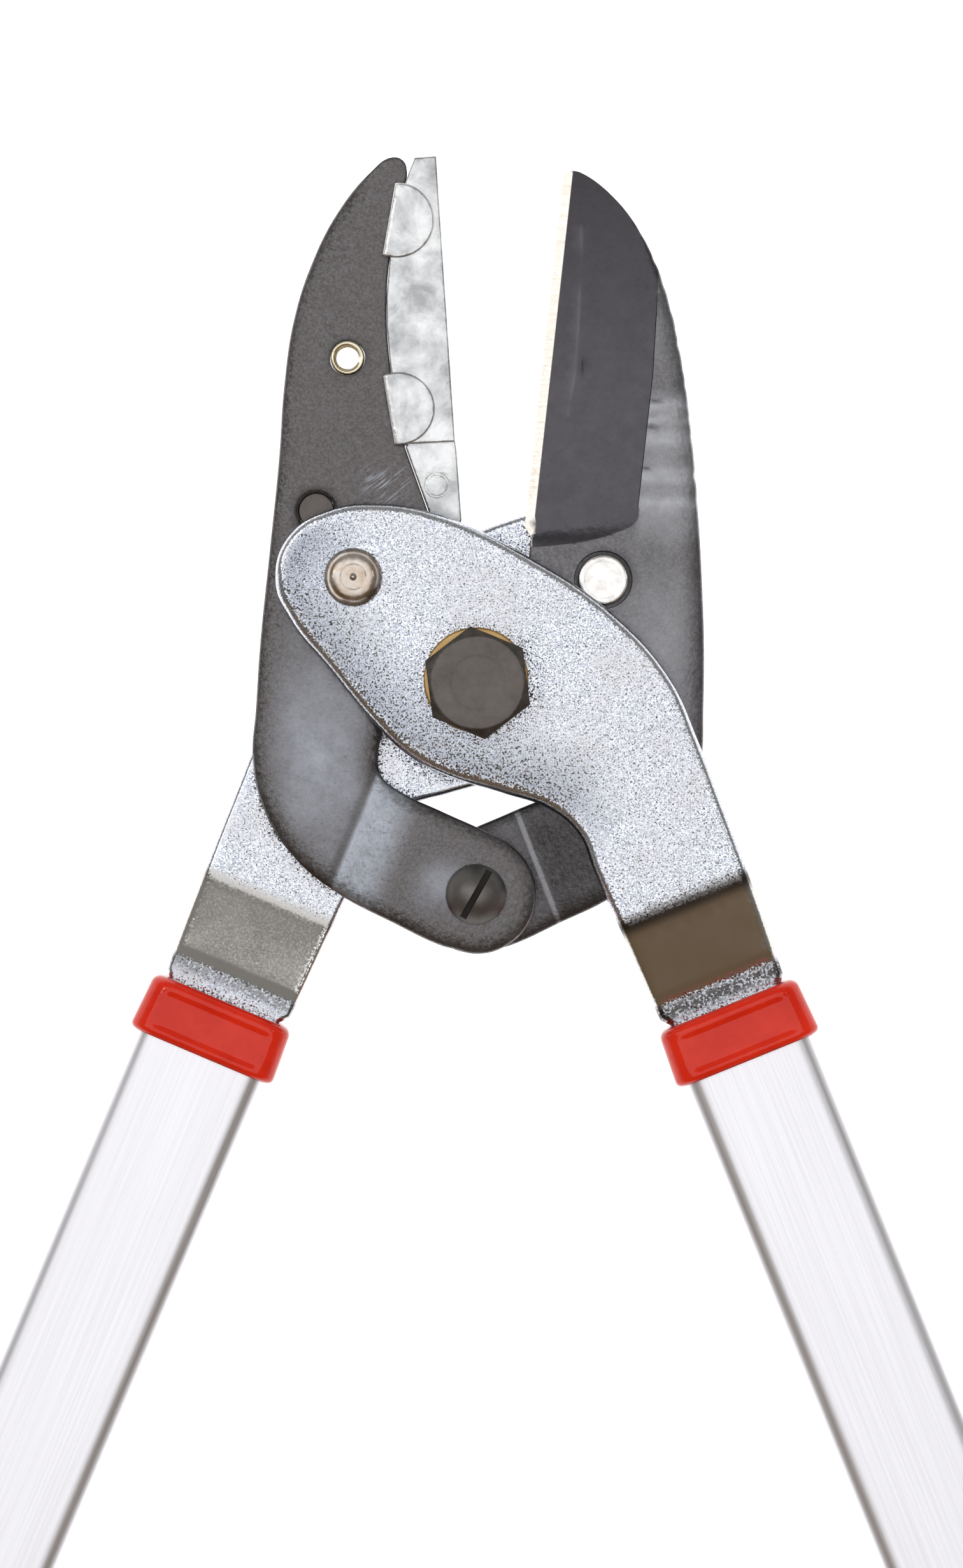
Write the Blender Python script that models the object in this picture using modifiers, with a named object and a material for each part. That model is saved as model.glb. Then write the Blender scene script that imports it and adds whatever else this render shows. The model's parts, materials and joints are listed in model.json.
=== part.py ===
"""Compound-action anvil lopper, lying flat on its side.

X runs across the tool, Y towards the jaw tips and Z up. The origin is on the floor under
the middle of the tool. Sizes below are millimetres, measured from the main pivot in the
plane of the jaws, and mm() turns them into metres.
"""

import math

import bmesh
import bpy
from mathutils import Matrix, Vector

# Where the tool lies
MID_HEIGHT = 16.5  # middle plane of the jaws above the floor
PIVOT_Y = 252.32  # main pivot ahead of the origin

# Linkage
JAW_PIVOT = (-23.0, 19.3)  # rivet between the front lever plate and the anvil jaw
LINK_PIVOT = (0.0, -38.8)  # screw that joins the two jaw arms
HANDLE_ANGLE = math.radians(22.5)  # each handle from the centre line at rest
HANDLE_OFFSET = 20.3  # tube's centre line from the main pivot

# Thicknesses and levels, up from the middle plane
JAW_HALF = 2.5
ARM_LIFT = 2.65  # how far the anvil jaw's arm is set up, and the blade's down
PLATE_LOW, PLATE_HIGH = 2.8, 7.3
PLATE_BEVEL, JAW_BEVEL, ANVIL_BEVEL = 0.9, 0.5, 0.3
JAW_RECESS_RADIUS, JAW_RECESS_LEVEL = 5.4, 0.7  # sunk round each rivet's flat end
ARM_END_RADIUS = 11.0
ARM_FOLD_START, ARM_FOLD_DIRECTION = (-23.6, -28.9), (0.93, -0.367)
BLADE_WEB, HOLLOW_SLOPE = 0.55, 0.09  # half thickness behind the bevel, and its growth
EDGE_HALF, BEVEL_SLOPE, BEVEL_WIDTH = 0.1, 0.28, 1.7
ANVIL_HALF, LUG_TOP = 3.7, 4.4
UPPER_LUG, UPPER_LUG_RADIUS = (-15.6, 85.2), 6.9
LOWER_LUG, LOWER_LUG_RADIUS = (-15.0, 50.5), 6.7
STACK_GAP = 0.15  # between pieces that are clamped together
WORKING_GAP = 0.3  # between pieces that slide or fit loosely

# Main pivot: an M12 bolt
BOLT_RADIUS = 6.0
HEX_ACROSS = 18.0
HEX_TURN = math.radians(8.0)
SPACER_RADIUS = 9.0
WASHER_RADIUS = 10.0
WASHER_THICK = 1.3
NUT_HIGH = 6.0

# Rivets, pins and the link screw
RIVET_RADIUS, RIVET_DOME, RIVET_END = 3.7, 5.35, 4.6
RIVET_FLAT = -2.6  # level of the flat end
STOP_PIN = (-30.0, 31.6)
STOP_PIN_RADIUS, STOP_PIN_LOW = 3.2, -7.0
BUSH = (-24.5, 59.9)
BUSH_RADIUS, BUSH_BORE, BUSH_HALF = 3.12, 2.1, 2.6
LINK_RADIUS, LINK_HEAD, LINK_END = 3.0, 5.55, -12.4
LINK_SLOT_WIDTH = 1.25
LINK_WASHER_RADIUS, LINK_WASHER_THICK = 9.2, 1.3
LINK_NUT_ACROSS, LINK_NUT_HIGH = 10.0, 4.6
LINK_SLOT_TURN = math.radians(61.0)
LINK_SLIDE = (-3.3, 0.45)  # how far the link screw travels in the blade's slot as the jaws open

# Handle: stations along it from the main pivot, then its sections
JOG_STATIONS = (50.0, 54.0, 66.0, 70.5)
TANG_STEP, TANG_END = 75.0, 108.0
FERRULE_TOP, FERRULE_END = 72.0, 83.0
TUBE_TOP, TUBE_END = 74.5, 641.0
GRIP_TOP, GRIP_END = 500.0, 652.0
TUBE_HALF_WIDTH, TUBE_HALF_HEIGHT, TUBE_CORNER, TUBE_WALL = 12.8, 6.5, 3.0, 1.5
TANG_HALF_WIDTH, TANG_NECK_HALF_WIDTH = 8.5, 11.0
TANG_HALF_THICK = 2.25
TANG_PIN_AT, TANG_PIN_RADIUS, TANG_PIN_HALF = 79.5, 2.5, 6.3

CURVE_STEPS = 4  # straight pieces between two points of an outline
TURN_STEPS = 28

SMOOTH, CORNER = "AUTO", "VECTOR"


def mm(value):
    return value * 0.001


# ---------------------------------------------------------------- scene and materials
def clear_scene():
    for obj in list(bpy.data.objects):
        bpy.data.objects.remove(obj, do_unlink=True)


def new_collection(name):
    found = bpy.data.collections.new(name)
    bpy.context.scene.collection.children.link(found)
    return found


def finish(name, colour, metallic, roughness):
    material = bpy.data.materials.new(name)
    material.use_nodes = True
    shader = material.node_tree.nodes["Principled BSDF"]
    shader.inputs["Base Color"].default_value = (*colour, 1.0)
    shader.inputs["Metallic"].default_value = metallic
    shader.inputs["Roughness"].default_value = roughness
    material.diffuse_color = (*colour, 1.0)
    return material


def empty(name, parent, at=(0.0, 0.0, 0.0)):
    obj = bpy.data.objects.new(name, None)
    obj.empty_display_size = mm(20)
    obj.location = Vector(at)
    obj.parent = parent
    tool.objects.link(obj)
    return obj


# ---------------------------------------------------------------- shape helpers
def new_object(name, mesh):
    obj = bpy.data.objects.new(name, mesh)
    tool.objects.link(obj)
    return obj


def evaluated_mesh(obj):
    graph = bpy.context.evaluated_depsgraph_get()
    return bpy.data.meshes.new_from_object(obj.evaluated_get(graph))


def bake(obj):
    """The object's modifiers applied to its mesh."""
    mesh = evaluated_mesh(obj)
    obj.modifiers.clear()
    obj.data = mesh
    mesh.shade_smooth()
    mesh.set_sharp_from_angle(angle=math.radians(30))
    return obj


def weld(mesh):
    shape = bmesh.new()
    shape.from_mesh(mesh)
    bmesh.ops.remove_doubles(shape, verts=shape.verts, dist=1e-6)
    bmesh.ops.recalc_face_normals(shape, faces=shape.faces)
    flat = math.radians(0.5)
    bmesh.ops.dissolve_limit(shape, angle_limit=flat, verts=shape.verts, edges=shape.edges)
    shape.to_mesh(mesh)
    shape.free()


def slab(name, points, low, high):
    """A flat outline between two levels. A point is (x, y), smooth, or (x, y, CORNER)."""
    curve = bpy.data.curves.new(name, "CURVE")
    curve.dimensions = "2D"
    curve.fill_mode = "BOTH"
    curve.extrude = mm(high - low) / 2
    curve.resolution_u = CURVE_STEPS
    spline = curve.splines.new("BEZIER")
    spline.bezier_points.add(len(points) - 1)
    for knot, point in zip(spline.bezier_points, points):
        knot.co = (mm(point[0]), mm(point[1]), 0.0)
        kind = point[2] if len(point) > 2 else SMOOTH
        knot.handle_left_type = kind
        knot.handle_right_type = kind
    spline.use_cyclic_u = True
    outline = bpy.data.objects.new(name + "_outline", curve)
    tool.objects.link(outline)
    mesh = evaluated_mesh(outline)
    bpy.data.objects.remove(outline, do_unlink=True)
    weld(mesh)
    mesh.transform(Matrix.Translation((0.0, 0.0, mm(low + high) / 2)))
    return new_object(name, mesh)


def fold(obj, start, direction, stations, rises):
    """Splits the slab across lines square to direction and lifts it by rises there."""
    shape = bmesh.new()
    shape.from_mesh(obj.data)
    start = Vector((mm(start[0]), mm(start[1]), 0.0))
    direction = Vector((direction[0], direction[1], 0.0)).normalized()
    for station in stations:
        everything = shape.verts[:] + shape.edges[:] + shape.faces[:]
        there = start + direction * mm(station)
        bmesh.ops.bisect_plane(shape, geom=everything, dist=1e-7, plane_co=there, plane_no=direction)
    for vert in shape.verts:
        at = (vert.co - start).dot(direction) * 1000
        vert.co.z += mm(between(at, stations, rises))
    shape.to_mesh(obj.data)
    shape.free()


def between(at, stations, values):
    """The value at a station, straight between the given ones and level beyond them."""
    if at <= stations[0]:
        return values[0]
    for low, high, first, last in zip(stations, stations[1:], values, values[1:]):
        if at <= high:
            return first + (last - first) * (at - low) / (high - low)
    return values[-1]


def eased(first, second, third, fourth, rise, steps=4):
    """Stations and rises of a jog: a bend, a straight slope and a bend back."""
    full = rise / ((second - first) / 2 + third - second + (fourth - third) / 2)
    stations = [first + (second - first) * i / steps for i in range(steps + 1)]
    stations += [third + (fourth - third) * i / steps for i in range(steps + 1)]
    rises = []
    for at in stations:
        into = min(max(at - first, 0), second - first)
        out = min(max(at - third, 0), fourth - third)
        steady = min(max(at - second, 0), third - second)
        height = into**2 / (2 * (second - first)) + steady + out - out**2 / (2 * (fourth - third))
        rises.append(full * height)
    return stations, rises


def turned(name, profile, closed=False, steps=TURN_STEPS):
    """A turned shape about Z. The profile is (radius, height) down its outer side."""
    mesh = bpy.data.meshes.new(name)
    verts = [(mm(radius), 0.0, mm(height)) for radius, height in profile]
    edges = [(i, i + 1) for i in range(len(profile) - 1)]
    if closed:
        edges.append((len(profile) - 1, 0))
    mesh.from_pydata(verts, edges, [])
    obj = new_object(name, mesh)
    screw = obj.modifiers.new("turn", "SCREW")
    screw.axis = "Z"
    screw.angle = math.tau
    screw.steps = steps
    screw.render_steps = steps
    screw.use_merge_vertices = True
    screw.merge_threshold = 0.00001
    return bake(obj)


def ring(name, inner, outer, low, high, steps=TURN_STEPS):
    return turned(name, [(inner, high), (outer, high), (outer, low), (inner, low)], True, steps)


def rod(name, radius, low, high, steps=TURN_STEPS):
    return turned(name, [(0, high), (radius, high), (radius, low), (0, low)], False, steps)


def hexagon(name, across, low, high, turn=0.0):
    mesh = bpy.data.meshes.new(name)
    shape = bmesh.new()
    radius = mm(across) / 2 / math.cos(math.pi / 6)
    middle = Matrix.Translation((0.0, 0.0, mm(low + high) / 2))
    bmesh.ops.create_cone(
        shape,
        cap_ends=True,
        segments=6,
        radius1=radius,
        radius2=radius,
        depth=mm(high - low),
        matrix=middle @ Matrix.Rotation(turn, 4, "Z"),
    )
    shape.to_mesh(mesh)
    shape.free()
    return new_object(name, mesh)


def block(name, size, at=(0.0, 0.0, 0.0), turn=0.0):
    mesh = bpy.data.meshes.new(name)
    shape = bmesh.new()
    place = Matrix.Translation(Vector([mm(v) for v in at])) @ Matrix.Rotation(turn, 4, "Z")
    bmesh.ops.create_cube(shape, size=1.0, matrix=place @ Matrix.Diagonal([*[mm(v) for v in size], 1]))
    shape.to_mesh(mesh)
    shape.free()
    return new_object(name, mesh)


def rounded_section(half_width, half_height, radius, steps):
    """Points round a rectangle with round corners, as (across, up)."""
    points = []
    for corner in range(4):
        side = 1 if corner in (0, 3) else -1
        lift = 1 if corner < 2 else -1
        for step in range(steps + 1):
            angle = math.radians(90 * corner) + math.pi / 2 * step / steps
            across = side * (half_width - radius) + radius * math.cos(angle)
            up = lift * (half_height - radius) + radius * math.sin(angle)
            points.append((across, up))
    return points


def loft(name, sections, steps=4):
    """Rounded sections (station, half width, half height, corner) joined along the handle."""
    mesh = bpy.data.meshes.new(name)
    shape = bmesh.new()
    rows = []
    for station, half_width, half_height, radius in sections:
        points = rounded_section(half_width, half_height, radius, steps)
        rows.append([shape.verts.new((mm(across), mm(-station), mm(up))) for across, up in points])
    count = len(rows[0])
    for row, after in zip(rows, rows[1:]):
        for i in range(count):
            shape.faces.new((row[i], after[i], after[(i + 1) % count], row[(i + 1) % count]))
    shape.faces.new(rows[0][::-1])
    shape.faces.new(rows[-1])
    bmesh.ops.recalc_face_normals(shape, faces=shape.faces)
    shape.to_mesh(mesh)
    shape.free()
    return new_object(name, mesh)


def helper(obj):
    """Moves an object among the cutters, which the model doesn't show."""
    tool.objects.unlink(obj)
    cutters.objects.link(obj)
    obj.hide_render = True
    obj.display_type = "WIRE"
    return obj


def combine(obj, other, operation="DIFFERENCE"):
    boolean = obj.modifiers.new(other.name, "BOOLEAN")
    boolean.operation = operation
    boolean.object = helper(other)


def drill(obj, name, at, radius, low=-20.0, high=20.0):
    cutter = rod(name, radius, low, high)
    cutter.location = (mm(at[0]), mm(at[1]), 0.0)
    combine(obj, cutter)


def soften(obj, width, segments=1):
    bevel = obj.modifiers.new("edges", "BEVEL")
    bevel.width = mm(width)
    bevel.segments = segments
    bevel.limit_method = "ANGLE"
    bevel.angle_limit = math.radians(35)


def arc(centre, radius, start, end, count):
    """Smooth points on an arc, from one angle in degrees to another."""
    points = []
    for i in range(count):
        angle = math.radians(start + (end - start) * i / (count - 1))
        points.append((centre[0] + radius * math.cos(angle), centre[1] + radius * math.sin(angle)))
    return points


def on_handle(station, across):
    """A point of the right handle in the tool's own axes."""
    x = station * math.sin(HANDLE_ANGLE) + across * math.cos(HANDLE_ANGLE)
    y = -station * math.cos(HANDLE_ANGLE) + across * math.sin(HANDLE_ANGLE)
    return x, y


def show(name, obj, material, parent, at=(0.0, 0.0, 0.0), turn=0.0):
    """A copy of the shape as one named sub-part, held by its body's empty."""
    copy = bpy.data.objects.new(name, obj.data)
    tool.objects.link(copy)
    if not obj.data.materials:
        obj.data.materials.append(material)
    copy.location = Vector([mm(v) for v in at])
    copy.rotation_euler.z = turn
    copy.parent = parent
    return copy


def drop(obj):
    bpy.data.objects.remove(obj, do_unlink=True)


# ---------------------------------------------------------------- lever plates
def lever_plate():
    """A stamped plate, jogged down to the handle's middle plane, with a tang at its end."""
    neck = TANG_NECK_HALF_WIDTH
    tang = TANG_HALF_WIDTH
    axis = HANDLE_OFFSET
    outline = [
        (-37.4, 18.6), (-34.9, 27.0), (-27.6, 31.7), (-18.6, 32.9), (-7.8, 31.1),
        (9.6, 23.1), (25.4, 12.4), (35.5, 1.0), (40.5, -10.0), (*on_handle(36, 33.4),),
        (*on_handle(52, 33.0),), (*on_handle(68.6, 32.3), CORNER), (*on_handle(70.6, 32.2), CORNER),
        (*on_handle(72.0, axis + neck), CORNER), (*on_handle(TANG_STEP, axis + neck), CORNER),
        (*on_handle(TANG_STEP, axis + tang), CORNER), (*on_handle(TANG_END - 3, axis + tang), CORNER),
        (*on_handle(TANG_END, axis + tang - 3), CORNER), (*on_handle(TANG_END, axis - tang + 3), CORNER),
        (*on_handle(TANG_END - 3, axis - tang), CORNER), (*on_handle(TANG_STEP, axis - tang), CORNER),
        (*on_handle(TANG_STEP, axis - neck), CORNER), (*on_handle(71.8, axis - neck), CORNER),
        (*on_handle(70.2, 7.9), CORNER), (*on_handle(65.0, 7.7), CORNER), (*on_handle(52, 7.3),),
        (*on_handle(40, 6.9),), (18.7, -27.4), (13.2, -22.9), (5.0, -20.2), (-6.2, -16.8),
        (-12.6, -13.4), (-18.4, -8.1), (-27.3, 2.4), (-34.8, 11.8),
    ]
    plate = slab("lever_plate", outline, PLATE_LOW, PLATE_HIGH)
    drop_to_handle = -(PLATE_LOW + PLATE_HIGH) / 2
    stations, rises = eased(*JOG_STATIONS, drop_to_handle)
    fold(plate, (0, 0), on_handle(1, 0), stations, rises)
    soften(plate, PLATE_BEVEL)
    drill(plate, "plate_pivot_hole", (0, 0), BOLT_RADIUS + STACK_GAP)
    drill(plate, "plate_rivet_hole", JAW_PIVOT, RIVET_RADIUS + STACK_GAP)
    pin_at = on_handle(TANG_PIN_AT, HANDLE_OFFSET)
    drill(plate, "plate_pin_hole", pin_at, TANG_PIN_RADIUS + STACK_GAP)
    return bake(plate)


# ---------------------------------------------------------------- jaws
def jaw_outline(upper):
    """A jaw's outline. upper runs from the inner edge over the tip to the outer edge."""
    inner = [
        (-18.3, -13.6), (-17.5, -9.0), (-16.0, 0.0), (-13.4, 10.0),
    ]
    outer = [
        (-41.4, -14.0), (-39.3, -23.4), (-33.6, -32.3),
        (-25.0, -39.2), (-15.4, -44.1), (-6.4, -48.3),
    ]
    end = arc(LINK_PIVOT, ARM_END_RADIUS, 245, 415, 7)
    arm = [(2.0, -27.4), (-6.3, -23.7), (-14.5, -19.8), (-17.6, -17.2)]
    return inner + upper + outer + end + arm


def raise_arm(jaw):
    """Sets the arm up by ARM_LIFT between the bend by the body and the one by the link."""
    stations, rises = eased(0.0, 1.6, 8.2, 13.2, ARM_LIFT)
    fold(jaw, ARM_FOLD_START, ARM_FOLD_DIRECTION, stations, rises)


def jaw_holes(jaw, name):
    """The rivet's hole, with a recess for its flat end on the lower side."""
    drill(jaw, name + "_rivet_hole", JAW_PIVOT, RIVET_RADIUS + WORKING_GAP)
    drill(jaw, name + "_rivet_recess", JAW_PIVOT, JAW_RECESS_RADIUS, low=-4.0, high=-JAW_RECESS_LEVEL)


def anvil_jaw_shape():
    upper = [
        (-9.4, 20.0), (-7.6, 26.6, CORNER), (-13.75, 43.4, CORNER), (-16.5, 57.5),
        (-17.4, 70.0), (-16.8, 79.0), (-14.1, 92.2, CORNER), (-13.8, 94.4), (-14.5, 96.3), (-16.5, 96.9),
        (-20.6, 94.0), (-26.3, 87.0), (-31.3, 77.0), (-34.5, 66.5), (-36.1, 55.0), (-37.0, 41.0),
        (-38.5, 25.0), (-40.2, 7.0), (-40.9, -5.0),
    ]
    jaw = slab("anvil_jaw_blank", jaw_outline(upper), -JAW_HALF, JAW_HALF)
    raise_arm(jaw)
    soften(jaw, JAW_BEVEL)
    jaw_holes(jaw, "anvil_jaw")
    drill(jaw, "bush_hole", BUSH, BUSH_RADIUS + STACK_GAP)
    drill(jaw, "stop_pin_hole", STOP_PIN, STOP_PIN_RADIUS + STACK_GAP)
    drill(jaw, "link_hole", LINK_PIVOT, LINK_RADIUS + STACK_GAP)
    return bake(jaw)


EDGE_TIP, EDGE_HEEL = (-15.15, 94.3), (-8.65, 30.9)  # cutting edge, in the blade's own axes


def edge_distance(x, y):
    """How far a point lies behind the cutting edge, towards the blade's back."""
    along = Vector(EDGE_HEEL) - Vector(EDGE_TIP)
    square = Vector((along.y, -along.x)).normalized()
    return (Vector((x, y)) - Vector(EDGE_TIP)).dot(square)


def grinding_cutter(name, points, depth_at):
    """A cutter over an outline. Its lower face slopes: depth_at gives its level there."""
    cutter = slab(name, points, -5.0, 8.0)
    for vert in cutter.data.vertices:
        if vert.co.z < 0:
            vert.co.z = mm(depth_at(edge_distance(vert.co.x * 1000, vert.co.y * 1000)))
    return cutter


def flipped(obj, name):
    copy = bpy.data.objects.new(name, obj.data.copy())
    tool.objects.link(copy)
    copy.data.transform(Matrix.Rotation(math.pi, 4, "Y"))
    copy.data.transform(Matrix.Scale(-1, 4, (1, 0, 0)))
    copy.data.flip_normals()
    return copy


def blade_shape():
    """The blade, drawn on the anvil jaw's side. Its body turns it over to the other side."""
    upper = [
        (-9.3, 22.0), (-9.8, 27.0, CORNER), (-8.4, 29.2, CORNER), (*EDGE_HEEL, CORNER),
        (*EDGE_TIP, CORNER), (-16.9, 94.8, CORNER), (-18.0, 94.6), (-24.1, 90.2), (-30.2, 82.0), (-34.3, 72.0),
        (-37.1, 60.0), (-39.2, 45.0), (-40.5, 31.0), (-41.3, 18.0), (-41.7, 8.0), (-41.7, -4.0),
    ]
    blade = slab("blade_blank", jaw_outline(upper), -JAW_HALF, JAW_HALF)
    raise_arm(blade)
    soften(blade, JAW_BEVEL)
    ground = [
        (-3.0, 100.0, CORNER), (-34.8, 100.0, CORNER), (-32.9, 76.5, CORNER), (-31.9, 57.0, CORNER),
        (-29.4, 33.0, CORNER), (-29.3, 30.4), (-25.5, 28.0), (-19.0, 26.3), (-10.2, 25.2), (-3.0, 25.0, CORNER),
    ]
    bevel = [
        (0.0, 24.0, CORNER), (-10.1, 24.0, CORNER), (-17.0, 97.0, CORNER), (-6.0, 97.0, CORNER),
    ]
    def hollow_depth(behind):
        return BLADE_WEB + max(behind - BEVEL_WIDTH, -4) * HOLLOW_SLOPE

    hollow = grinding_cutter("blade_grind", ground, hollow_depth)
    edge = grinding_cutter("blade_bevel", bevel, lambda d: EDGE_HALF + d * BEVEL_SLOPE)
    for cutter in (hollow, edge):
        other = flipped(cutter, cutter.name + "_back")
        combine(blade, cutter)
        combine(blade, other)
    jaw_holes(blade, "blade")
    slot = slab("blade_link_slot", link_slot(), -20, 20)
    combine(blade, slot)
    return bake(blade)


def link_slot():
    """Clearance for the link screw, which leans the same way as the jaws open or close."""
    radius = LINK_RADIUS + WORKING_GAP
    x, y = LINK_PIVOT
    right = arc((x, y), radius, -90, 90, 9)
    left = arc((x + LINK_SLIDE[0], y + LINK_SLIDE[1]), radius, 90, 270, 9)
    return [(*point, CORNER) for point in right + left]


# ---------------------------------------------------------------- anvil
def clipped_disc(centre, radius, angle_from, angle_to):
    return [(*point, CORNER) for point in arc(centre, radius, angle_from, angle_to, 15)]


def anvil_shape():
    """A soft-metal anvil that seats against the jaw's edge, with four lugs over its faces."""
    bar = [
        (-8.4, 97.1, CORNER), (-4.5, 44.5, CORNER), (-13.1, 44.0, CORNER), (-16.15, 57.5),
        (-17.05, 70.0), (-16.45, 79.0), (-13.8, 92.1, CORNER), (-12.4, 96.8, CORNER),
    ]
    tail = [
        (-5.3, 50.0, CORNER), (-4.2, 43.0, CORNER), (-3.2, 30.2, CORNER), (-3.6, 28.8),
        (-4.8, 28.2), (-7.2, 28.2, CORNER), (-13.3, 43.4, CORNER), (-12.0, 50.0, CORNER),
    ]
    anvil = slab("anvil_bar", bar, -ANVIL_HALF, ANVIL_HALF)
    soften(anvil, ANVIL_BEVEL)
    combine(anvil, slab("anvil_tail", tail, -JAW_HALF, JAW_HALF), "UNION")
    lug_base = JAW_HALF + WORKING_GAP
    upper = clipped_disc(UPPER_LUG, UPPER_LUG_RADIUS, -112, 93)
    lower = clipped_disc(LOWER_LUG, LOWER_LUG_RADIUS, -96, 116)
    for name, lug in (("upper", upper), ("lower", lower)):
        combine(anvil, slab("anvil_lug_" + name, lug, lug_base, LUG_TOP), "UNION")
        combine(anvil, slab("anvil_lug_back_" + name, lug, -LUG_TOP, -lug_base), "UNION")
    return bake(anvil)


# ---------------------------------------------------------------- pivots and fasteners
def rivet_shape():
    """A domed head over the lever plate and a flat end in the jaw's recess."""
    top = PLATE_HIGH + STACK_GAP
    neck = -JAW_RECESS_LEVEL - STACK_GAP
    profile = [
        (0.0, top + 3.2), (0.7, top + 3.2), (2.4, top + 3.1), (3.9, top + 2.5), (4.9, top + 1.5),
        (RIVET_DOME, top + 0.5), (RIVET_DOME, top), (RIVET_RADIUS, top), (RIVET_RADIUS, neck),
        (RIVET_END, neck), (RIVET_END, RIVET_FLAT + 0.3), (RIVET_END - 0.3, RIVET_FLAT), (0.0, RIVET_FLAT),
    ]
    return turned("rivet", profile)


def pivot_bolt_shape():
    under = PLATE_HIGH + 2 * STACK_GAP + WASHER_THICK
    head = hexagon("pivot_bolt_head", HEX_ACROSS, under, MID_HEIGHT, HEX_TURN)
    envelope = [
        (0.0, MID_HEIGHT + 1), (8.0, MID_HEIGHT + 0.26), (12.0, MID_HEIGHT - 2.05),
        (12.0, under - 1), (0.0, under - 1),
    ]
    combine(head, turned("pivot_bolt_chamfer", envelope, steps=48), "INTERSECT")
    shank = [
        (0.0, under + 1), (BOLT_RADIUS, under + 1), (BOLT_RADIUS, -MID_HEIGHT + 0.8),
        (BOLT_RADIUS - 0.8, -MID_HEIGHT), (0.0, -MID_HEIGHT),
    ]
    combine(head, turned("pivot_bolt_shank", shank), "UNION")
    return bake(head)


def nut_shape(name, across, bore, low, high, turn):
    nut = hexagon(name + "_blank", across, low, high, turn)
    radius = across / 2 / math.cos(math.pi / 6)
    chamfer = (radius - across / 2) * 0.6
    envelope = [
        (0.0, high + 1), (across / 2 - 0.3, high + 1), (across / 2 - 0.3, high), (radius + 1, high - chamfer - 0.5),
        (radius + 1, low + chamfer + 0.5), (across / 2 - 0.3, low), (across / 2 - 0.3, low - 1), (0.0, low - 1),
    ]
    combine(nut, turned(name + "_chamfer", envelope), "INTERSECT")
    combine(nut, rod(name + "_bore", bore, low - 3, high + 3))
    return bake(nut)


def link_screw_shape():
    """A domed screw with a straight slot, through both jaw arms."""
    seat = JAW_HALF + ARM_LIFT + STACK_GAP
    profile = [
        (0.0, seat + 3.3), (1.7, seat + 3.1), (3.3, seat + 2.5), (4.6, seat + 1.55),
        (LINK_HEAD, seat + 0.45), (LINK_HEAD, seat), (LINK_RADIUS, seat), (LINK_RADIUS, LINK_END + 0.5),
        (LINK_RADIUS - 0.5, LINK_END), (0.0, LINK_END),
    ]
    screw = turned("link_screw_blank", profile)
    slot = block("link_screw_slot", (20, LINK_SLOT_WIDTH, 4), (0, 0, seat + 1.6 + 2), LINK_SLOT_TURN)
    combine(screw, slot)
    return bake(screw)


# ---------------------------------------------------------------- handle
def ferrule_shape():
    """A moulded cap over the tube's end, with a slot that the tang passes through."""
    body = loft("ferrule", [
        (FERRULE_TOP, 12.8, 7.1, 2.6), (FERRULE_TOP + 0.9, 13.6, 7.9, 3.0), (FERRULE_END, 14.2, 8.2, 3.0),
    ])
    inner = TUBE_HALF_WIDTH + STACK_GAP, TUBE_HALF_HEIGHT + STACK_GAP, TUBE_CORNER
    combine(body, loft("ferrule_pocket", [(TUBE_TOP - 0.3, *inner), (FERRULE_END + 2, *inner)]))
    slot = TANG_NECK_HALF_WIDTH + WORKING_GAP, TANG_HALF_THICK + WORKING_GAP, 1.0
    combine(body, loft("ferrule_slot", [(FERRULE_TOP - 2, *slot), (TUBE_TOP + 2, *slot)]))
    return bake(body)


def tube_shape():
    outer = TUBE_HALF_WIDTH, TUBE_HALF_HEIGHT, TUBE_CORNER
    inner = TUBE_HALF_WIDTH - TUBE_WALL, TUBE_HALF_HEIGHT - TUBE_WALL, TUBE_CORNER - TUBE_WALL
    tube = loft("tube", [(TUBE_TOP, *outer), (TUBE_END, *outer)])
    combine(tube, loft("tube_bore", [(TUBE_TOP - 3, *inner), (TUBE_END + 3, *inner)]))
    drill(tube, "tube_pin_hole", (0, -TANG_PIN_AT), TANG_PIN_RADIUS + STACK_GAP)
    return bake(tube)


def tang_sleeve_shape():
    """A plastic insert that fills the tube round the tang."""
    fit = TUBE_WALL + STACK_GAP
    outer = TUBE_HALF_WIDTH - fit, TUBE_HALF_HEIGHT - fit, 1.4
    slot = TANG_HALF_WIDTH + STACK_GAP, TANG_HALF_THICK + STACK_GAP, 0.6
    sleeve = loft("tang_sleeve", [(TANG_STEP + 0.4, *outer), (TANG_END + 4, *outer)])
    combine(sleeve, loft("sleeve_slot", [(TANG_STEP - 3, *slot), (TANG_END + 8, *slot)]))
    drill(sleeve, "sleeve_pin_hole", (0, -TANG_PIN_AT), TANG_PIN_RADIUS + STACK_GAP)
    return bake(sleeve)


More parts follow.
